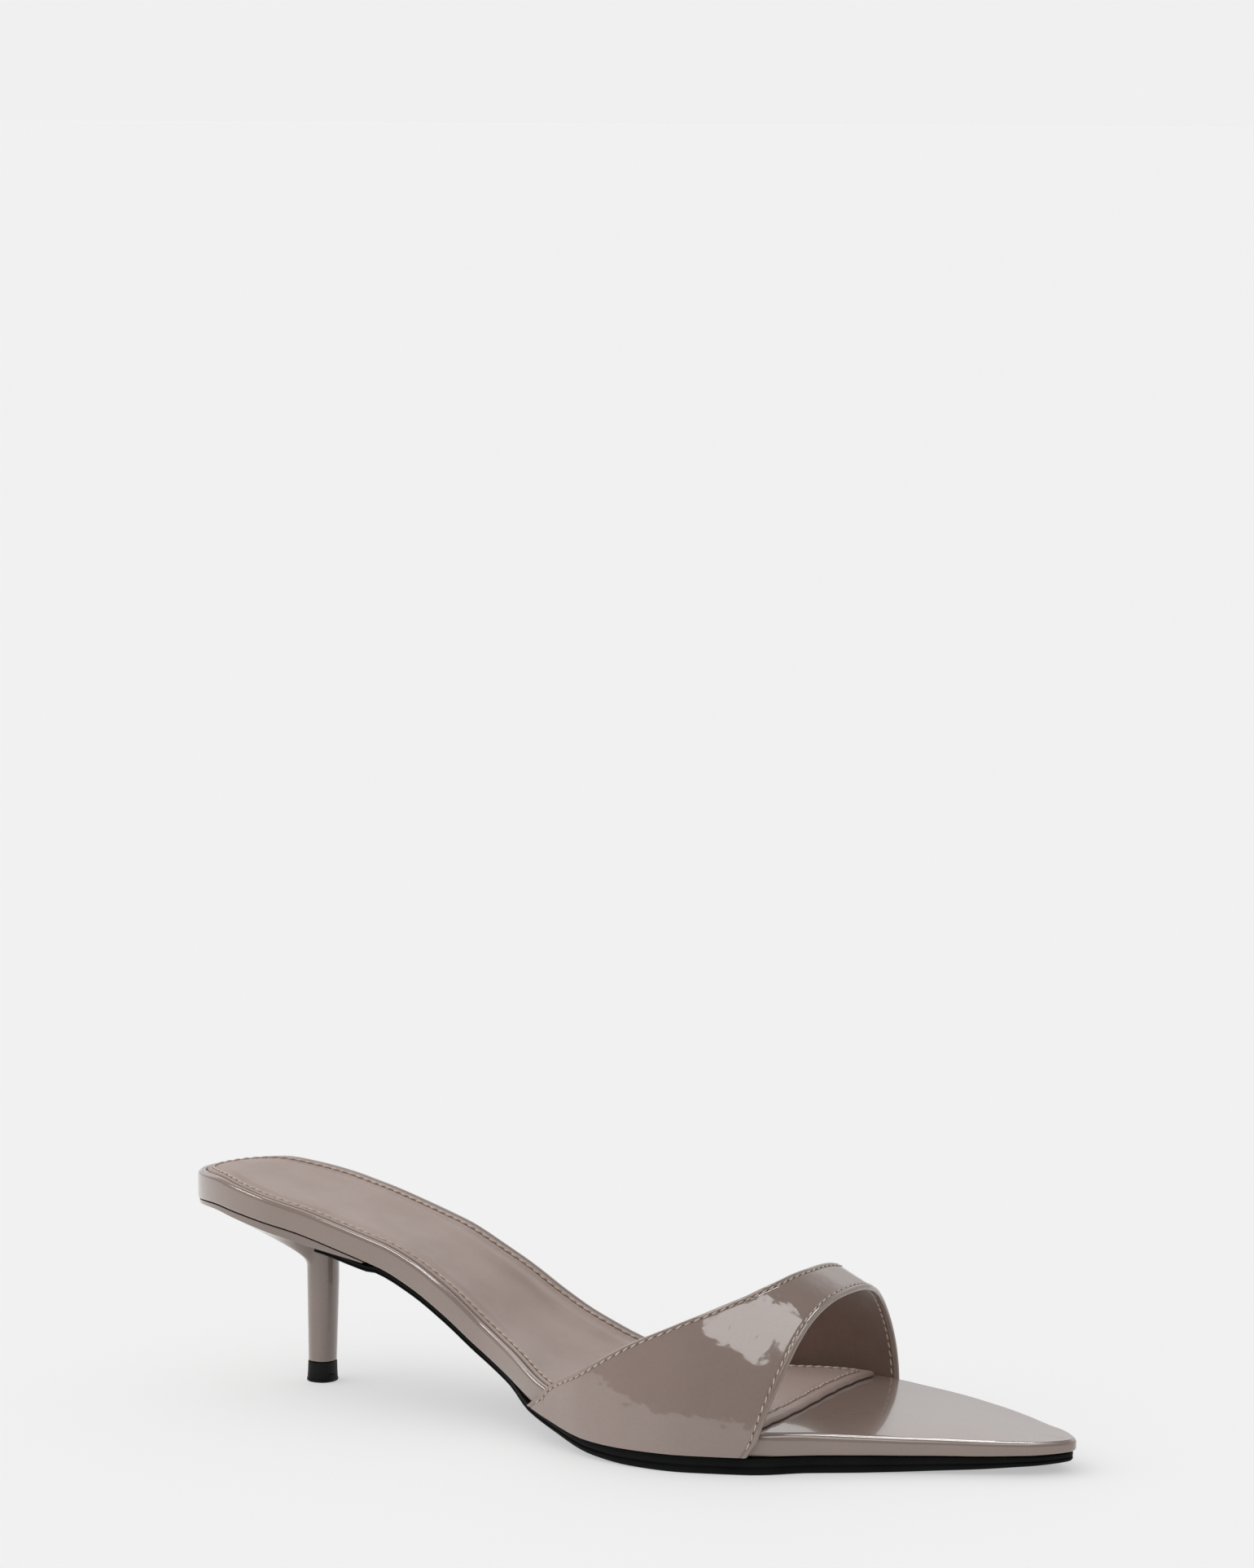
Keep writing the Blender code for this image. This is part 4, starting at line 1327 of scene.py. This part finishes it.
@dataclass
class Outsole:
    """Black rubber sole with a stepped side and a border groove on its tread."""

    last: Last
    back: float = 0.0450
    margin: float = 0.0008
    flange: float = 0.0008
    edge: float = 0.0006
    step_share: float = 0.44
    step_depth: float = 0.00034
    plate_reach: float = 0.0611
    breast: float = 0.0445
    ramp: float = 0.0020
    tongue_margin: float = 0.0030
    blend: float = 0.0120
    plate: float = 0.0021
    feather: float = 0.0003
    side_count: int = 130
    back_count: int = 12
    border: float = 0.0050
    groove: tuple[Place, ...] = ((0.0, 0.0), (0.0002, 0.0003), (0.0007, 0.0003), (0.0009, 0.0))
    edge_turns: tuple[float, ...] = (20.0, 45.0, 70.0, 90.0)
    crowding: float = 0.95
    tongue_clearance: float = 0.0005
    top_inset: float = 0.0003
    spine_back: float = 0.02
    spine_front: float = 0.012

    def places(self) -> list[tuple[float, Side]]:
        """Stations of both sides: outer side forwards, inner side back."""
        shares = [k / self.side_count for k in range(self.side_count + 1)]
        run = self.last.length - self.back
        xs = [self.back + run * math.sin(0.5 * math.pi * share) ** self.crowding for share in shares]
        return [(x, Side.OUTER) for x in xs] + [(x, Side.INNER) for x in xs[-2::-1]]

    def drop(self, x: float) -> float:
        """How far the sole dives under the heel's seat plate."""
        share = min(max((self.plate_reach - x) / (self.plate_reach - self.breast), 0.0), 1.0)
        plate = self.feather + (self.plate - self.feather) * share
        dive = ease((self.plate_reach + self.ramp - x) / (self.ramp - self.last.gap))
        return (plate + self.tongue_clearance) * dive

    def set_back(self, x: float, side: Side) -> float:
        """Margin of the sole's side: out under the strap, in at the tongue.

        Args:
            x: place along the shoe.
            side: side of the foot.

        Returns:
            The margin inside the outline.
        """
        foot = STRAP_EDGES[0] if side is Side.OUTER else STRAP_EDGES[-1]
        back, front = foot.back * self.last.length, foot.front * self.last.length
        under = ease((x - back + self.blend) / self.blend) * (1.0 - ease((x - front) / self.blend))
        tongue = 1.0 - ease((x - self.breast) / (self.plate_reach + self.ramp - self.breast))
        return self.margin - (self.margin + self.flange) * under + self.tongue_margin * tongue

    def loop(self, inset: float) -> list[Place]:
        """Loop of the sole, drawn in by an inset."""
        last = self.last
        sides = [last.side_point(x, side, self.set_back(x, side) + inset) for x, side in self.places()]
        start, end = sides[-1], sides[0]
        across = []
        for k in range(1, self.back_count):
            share = k / self.back_count
            x = start[0] + (end[0] - start[0]) * share + inset
            across.append((x, start[1] + (end[1] - start[1]) * share))
        return sides + across

    def level(self, inset: float, share: float, lift: float) -> list[Vector]:
        """Row at a share of the thickness plus a lift.

        Args:
            inset: distance inside the sole's side.
            share: 0 at the underside, 1 at the top.
            lift: added height.

        Returns:
            The row's points.
        """
        return [self.point(place, share, lift) for place in self.loop(inset)]

    def point(self, place: Place, share: float, lift: float) -> Vector:
        """Point of the sole at a share of its thickness.

        Args:
            place: point in plan.
            share: 0 at the underside, 1 at the top.
            lift: added height.

        Returns:
            The point in the row's frame.
        """
        last = self.last
        x = min(max(place[0], 0.0), last.length)
        bottom = last.ground(x)
        top = last.board_bottom(x) - last.gap
        return last.world(*place, bottom + (top - bottom) * share + lift - self.drop(x))

    def side_rows(self) -> list[EdgeRow]:
        """Rows down the stepped side."""
        step = self.step_share
        return [
            EdgeRow(0.00008, 0.975),
            EdgeRow(0.0, 0.93),
            EdgeRow(0.0, 0.70),
            EdgeRow(0.00004, step + 0.09),
            EdgeRow(0.00012, step + 0.06),
            EdgeRow(self.step_depth, step + 0.03),
            EdgeRow(self.step_depth, step - 0.01),
            EdgeRow(0.00012, step - 0.05),
            EdgeRow(0.00004, step - 0.09),
            EdgeRow(0.00002, 0.22),
        ]

    def build(self) -> bpy.types.Object:
        """Loft the sole from its top, down the stepped side, to the tread."""
        last = self.last
        low, high = self.back + self.spine_back, last.length - self.spine_front
        xs = [min(max(p[0], low), high) for p in self.loop(0.0)]
        spine = [(x, last.centre(x)) for x in xs]
        top = self.loop(self.top_inset)
        rows = []
        for share in (1.0, 0.5, 0.0):
            rows.append([self.point(p, 1.0, 0.0) for p in towards(top, spine, share)])
        for side_row in self.side_rows():
            rows.append(self.level(side_row.inset, side_row.level, 0.0))
        for turn in self.edge_turns:
            inward = self.edge * (1.0 - math.cos(math.radians(turn)))
            up = self.edge * (1.0 - math.sin(math.radians(turn)))
            rows.append(self.level(inward, 0.0, up))
        for past, lift in self.groove:
            rows.append(self.level(self.border + past, 0.0, lift))
        inner = self.loop(self.border + self.groove[-1][0])
        for share in (0.25, 0.5, 0.75, 1.0):
            rows.append([self.point(p, 0.0, 0.0) for p in towards(inner, spine, share)])
        return loft("rubber_sole", rows, closed=True)


class TipRow(NamedTuple):
    """One row of the heel tip: its height, how far it grows past the stem, and how far the nub stands out."""

    height: float
    grow: float
    nub: float


TIP_ROWS = (
    TipRow(0.0052, -0.00005, 0.0),
    TipRow(0.00508, 0.00006, 0.0),
    TipRow(0.0030, 0.00012, 0.0),
    TipRow(0.00205, 0.00016, 0.0),
    TipRow(0.00195, 0.00018, 0.0006),
    TipRow(0.00095, 0.00022, 0.0006),
    TipRow(0.00088, 0.00024, 0.0),
    TipRow(0.0007, 0.00034, 0.0),
    TipRow(0.0002, 0.00036, 0.0),
    TipRow(0.0, 0.00020, 0.0),
)


@dataclass
class Heel:
    """Lacquered heel: a saucer under the seat that runs down into a slim stem."""

    last: Last
    reach: float = 0.0611
    breast: float = 0.0445
    margin: float = 0.0004
    plate: float = 0.0021
    lip: float = 0.0008
    feather: float = 0.0003
    depth: float = 0.0095
    fillet: float = 7.0
    stem_x: float = 0.0354
    lean: float = 0.0004
    stem_top: float = 0.0270
    top_size: Place = (0.0083, 0.0077)
    foot_size: Place = (0.0072, 0.0072)
    corner: float = 130.0
    flatness: float = 0.72
    foot: float = 0.0055
    side_count: int = 46
    front_count: int = 22
    saucer_rows: int = 34
    saucer_crowding: float = 2.2
    cone_fade: Rise = Rise(0.45, 0.55)
    stem_rows: int = 12
    nub_y: float = -0.0010
    nub_half: float = 0.0009

    def seat(self) -> list[Place]:
        """Loop of the seat plate: outer side forwards, front, inner side back."""
        turns = [0.5 * math.pi * k / self.side_count for k in range(self.side_count + 1)]
        xs = [self.reach * (1.0 - math.cos(turn)) for turn in turns]
        outer = [self.last.side_point(x, Side.OUTER, self.margin) for x in xs]
        inner = [self.last.side_point(x, Side.INNER, self.margin) for x in xs]
        front = []
        for k in range(1, self.front_count):
            share = k / self.front_count
            front.append((outer[-1][0], outer[-1][1] + (inner[-1][1] - outer[-1][1]) * share))
        return outer + front + inner[:0:-1]

    def stem(self, length: float, width: float, height: float) -> list[Point]:
        """Rounded D round the stem's axis, in step with the seat's loop.

        Args:
            length: size along the shoe.
            width: size across it.
            height: height above the floor.

        Returns:
            The loop's points.
        """
        axis = self.stem_x + self.lean * height / self.stem_top
        sides = [self.corner * k / self.side_count for k in range(self.side_count + 1)]
        arc = 360.0 - 2.0 * self.corner
        front = [self.corner + arc * k / self.front_count for k in range(1, self.front_count)]
        points = []
        for turn in sides + front + [360.0 - side for side in sides[:0:-1]]:
            forward = -math.cos(math.radians(turn))
            bow = forward if forward < 0.0 else forward ** self.flatness
            points.append((axis + 0.5 * length * bow, -0.5 * width * math.sin(math.radians(turn)), height))
        return points

    def plate_thickness(self, x: float) -> float:
        """Thickness of the seat plate: a lip behind, full at the breast, a feather in front."""
        if x < self.breast:
            return self.lip + (self.plate - self.lip) * ease(x / self.breast)
        share = (self.reach - x) / (self.reach - self.breast)
        return self.feather + (self.plate - self.feather) * max(share, 0.0)

    def saucer(self, share: float) -> list[Vector]:
        """Loop part of the way from the seat's edge to the stem."""
        last = self.last
        row = []
        for start, end in zip(self.seat(), self.stem(*self.top_size, self.stem_top)):
            x = start[0] + (end[0] - start[0]) * share
            y = start[1] + (end[1] - start[1]) * share
            cone = self.depth * (1.0 - self.cone_fade.at(start[0] / self.breast))
            level = last.board_bottom(x) - last.gap - self.plate_thickness(x) - cone * share
            fillet = 1.0 - (1.0 - share ** self.fillet) ** (1.0 / self.fillet)
            row.append(last.world(x, y, level + (end[2] - level) * fillet))
        return row

    def build(self) -> bpy.types.Object:
        """Loft the heel from its seat to the foot of the stem."""
        last = self.last
        seat = self.seat()
        hub = [(self.stem_x, 0.0)] * len(seat)
        rows = []
        for share in (1.0, 0.5, 0.0):
            loop = towards(seat, hub, share)
            rows.append([last.world(*p, last.board_bottom(p[0]) - last.gap) for p in loop])
        for k in range(self.saucer_rows + 1):
            rows.append(self.saucer(1.0 - (1.0 - k / self.saucer_rows) ** self.saucer_crowding))
        for k in range(1, self.stem_rows + 1):
            share = k / self.stem_rows
            length = self.top_size[0] + (self.foot_size[0] - self.top_size[0]) * share
            width = self.top_size[1] + (self.foot_size[1] - self.top_size[1]) * share
            height = self.stem_top + (self.foot - self.stem_top) * share
            rows.append([last.world(*p) for p in self.stem(length, width, height)])
        rows.append([last.world(self.stem_x, 0.0, self.foot)] * len(seat))
        return loft("lacquered_heel", rows, closed=True)

    def tip(self) -> bpy.types.Object:
        """Black heel tip with a lip at the floor and its moulding nub."""
        last = self.last
        rows = [[last.world(self.stem_x, 0.0, TIP_ROWS[0].height)] * len(self.seat())]
        for height, grow, nub in TIP_ROWS:
            ring = self.stem(self.foot_size[0] + 2.0 * grow, self.foot_size[1] + 2.0 * grow, height)
            row = []
            for x, y, z in ring:
                push = nub if x > self.stem_x and abs(y - self.nub_y) < self.nub_half else 0.0
                row.append(last.world(x + push, y, z))
            rows.append(row)
        rows.append([last.world(self.stem_x, 0.0, 0.0)] * len(rows[0]))
        return loft("heel_tip", rows, closed=True)


# Studio


@dataclass(frozen=True)
class Lamp:
    """One soft box overhead that shows in the gloss alone: its middle, its size and its power."""

    name: str
    place: Point
    size: Place
    power: float


LAMPS = (
    Lamp("side_box", (0.60, -0.37, 1.50), (0.34, 1.50), 5.4),
    Lamp("rim_box", (-0.95, -0.10, 1.50), (0.50, 0.50), 7.0),
    Lamp("toe_box", (-0.15, 0.60, 1.50), (0.50, 0.40), 6.5),
)


@dataclass
class Studio:
    """Pale floor, even sky, soft lights and the camera."""

    floor_tone: float = 0.46
    floor_glow: float = 0.445
    sky_left: float = 1.36
    sky_right: float = 0.30
    gloss_dark: float = 0.12
    gloss_low: float = 0.62
    gloss_high: float = 1.10
    backdrop: float = 0.871
    sun_power: float = 0.50
    sun_angle: float = 60.0
    sun_ahead: Point = (0.80, 0.25, -0.75)
    floor_half: float = 30.0
    floor_cells: int = 8
    floor_roughness: float = 0.9
    floor_gloss: float = 0.1
    sensor: float = 36.0
    far: float = 200.0
    camera_place: Point = (0.73301, -1.26724, 0.33687)
    camera_ahead: Point = (-0.49507, 0.86060, -0.11947)
    lens: float = 136.87

    def floor(self) -> bpy.types.Object:
        """Wide pale floor that glows a little, so that the shadow stays pale."""
        mesh = bmesh.new()
        bmesh.ops.create_grid(mesh, x_segments=self.floor_cells, y_segments=self.floor_cells,
                              size=self.floor_half)
        floor = finished("floor", mesh)
        made = bpy.data.materials.new("floor")
        made.use_nodes = True
        shader = made.node_tree.nodes["Principled BSDF"]
        shader.inputs["Base Color"].default_value = (self.floor_tone, self.floor_tone, self.floor_tone, 1.0)
        shader.inputs["Roughness"].default_value = self.floor_roughness
        shader.inputs["Specular IOR Level"].default_value = self.floor_gloss
        shader.inputs["Emission Color"].default_value = (1.0, 1.0, 1.0, 1.0)
        shader.inputs["Emission Strength"].default_value = self.floor_glow
        floor.data.materials.append(made)
        return floor

    def world(self) -> None:
        """Even sky, dimmer in reflections, the backdrop's tone where the camera sees it."""
        world = bpy.data.worlds.new("studio")
        bpy.context.scene.world = world
        world.use_nodes = True
        tree = Tree(world.node_tree)
        ground = world.node_tree.nodes["Background"]
        rays = tree.add("LightPath")
        ahead = tree.add("SeparateXYZ", Vector=tree.add("TexCoord").outputs["Generated"])
        even = tree.remap(ahead.outputs["X"], low=-1.0, high=1.0, out_low=self.sky_left,
                          out_high=self.sky_right)
        back = tree.remap(ahead.outputs["Y"], low=0.0, high=0.5, out_low=0.0, out_high=1.0)
        low = tree.remap(ahead.outputs["Z"], low=0.5, high=0.8, out_low=1.0, out_high=0.0)
        wall = tree.remap(ahead.outputs["Z"], low=0.12, high=0.48, out_low=self.gloss_low,
                          out_high=self.gloss_high)
        share = tree.maths("MULTIPLY", back, low)
        mirror = tree.add("MapRange", Value=share, To_Min=self.gloss_dark, To_Max=wall)
        mirrored = mirror.outputs["Result"]
        lit = tree.add("MapRange", Value=rays.outputs["Is Glossy Ray"], To_Min=even, To_Max=mirrored)
        seen = tree.add("MapRange", Value=rays.outputs["Is Camera Ray"], To_Min=lit.outputs["Result"],
                        To_Max=self.backdrop)
        tree.link(seen.outputs["Result"], ground.inputs["Strength"])
        ground.inputs["Color"].default_value = (1.0, 1.0, 1.0, 1.0)

    def lights(self) -> None:
        """Soft key for the shadows and the boxes that show in the gloss."""
        sun = bpy.data.lights.new("key", "SUN")
        sun.energy = self.sun_power
        sun.angle = math.radians(self.sun_angle)
        key = bpy.data.objects.new("key", sun)
        key.rotation_euler = Vector(self.sun_ahead).to_track_quat("-Z", "Y").to_euler()
        key.visible_glossy = False
        bpy.context.scene.collection.objects.link(key)
        for lamp in LAMPS:
            area = bpy.data.lights.new(lamp.name, "AREA")
            area.shape = "RECTANGLE"
            area.size, area.size_y = lamp.size
            area.energy = lamp.power
            light = bpy.data.objects.new(lamp.name, area)
            light.location = lamp.place
            light.visible_diffuse = False
            bpy.context.scene.collection.objects.link(light)

    def camera(self) -> None:
        """Camera at the photograph's angle."""
        data = bpy.data.cameras.new("camera")
        data.lens = self.lens
        data.sensor_width = self.sensor
        data.clip_end = self.far
        camera = bpy.data.objects.new("camera", data)
        camera.location = self.camera_place
        camera.rotation_euler = Vector(self.camera_ahead).to_track_quat("-Z", "Y").to_euler()
        bpy.context.scene.collection.objects.link(camera)
        bpy.context.scene.camera = camera

    def build(self) -> None:
        """Put up the whole studio."""
        self.floor()
        self.world()
        self.lights()
        self.camera()
        view = bpy.context.scene.view_settings
        view.view_transform = "Standard"
        view.look = "None"


def main() -> None:
    """Build the shoe's pieces in order, dress them and put up the studio."""
    logging.basicConfig(level=logging.INFO, format="%(name)s: %(message)s")
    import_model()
    board_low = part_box("platform")[0]
    tip_low, tip_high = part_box("top_piece")
    last = Last(origin=Vector((board_low.x, 0.5 * (tip_low.y + tip_high.y), 0.0)))
    dresser = Dresser()

    dresser.dress(Platform(last).build(), PLATFORM_PATENT, "platform", "platform")
    dresser.dress(Outsole(last).build(), RUBBER, "outsole", "outsole")
    sock = Sock(last)
    padded = dresser.dress(sock.build(), SOCK, "insole", "insole")
    strap = Strap(last)
    dresser.dress(strap.leather(), PATENT, "upper", "upper")
    dresser.dress(strap.lining(), LINING, "upper")
    heel = Heel(last)
    dresser.dress(heel.build(), LACQUER, "heel", "heel")
    dresser.dress(heel.tip(), TIP_RUBBER, "top_piece", "top_piece")

    strap_paths = [strap.seam_path(edge, face) for edge in Edge for face in Face]
    dresser.dress(Seam().threads("strap_stitches", strap_paths), THREAD, "upper")
    # Dark dots of painted shade at the strap's needle holes.
    dresser.dress(Seam().holes("strap_needle_hole_shade", strap_paths), NEEDLE_HOLE_SHADE, "upper")
    sock_paths = [sock.seam_path()]
    dresser.dress(Seam(thread=0.00030, lift=0.00020).threads("sock_stitches", sock_paths), THREAD, "insole")
    # Dark dots of painted shade at the sock's needle holes.
    dresser.dress(Seam().holes("sock_needle_hole_shade", sock_paths), NEEDLE_HOLE_SHADE, "insole")

    Studio().build()


if __name__ == "__main__":
    main()
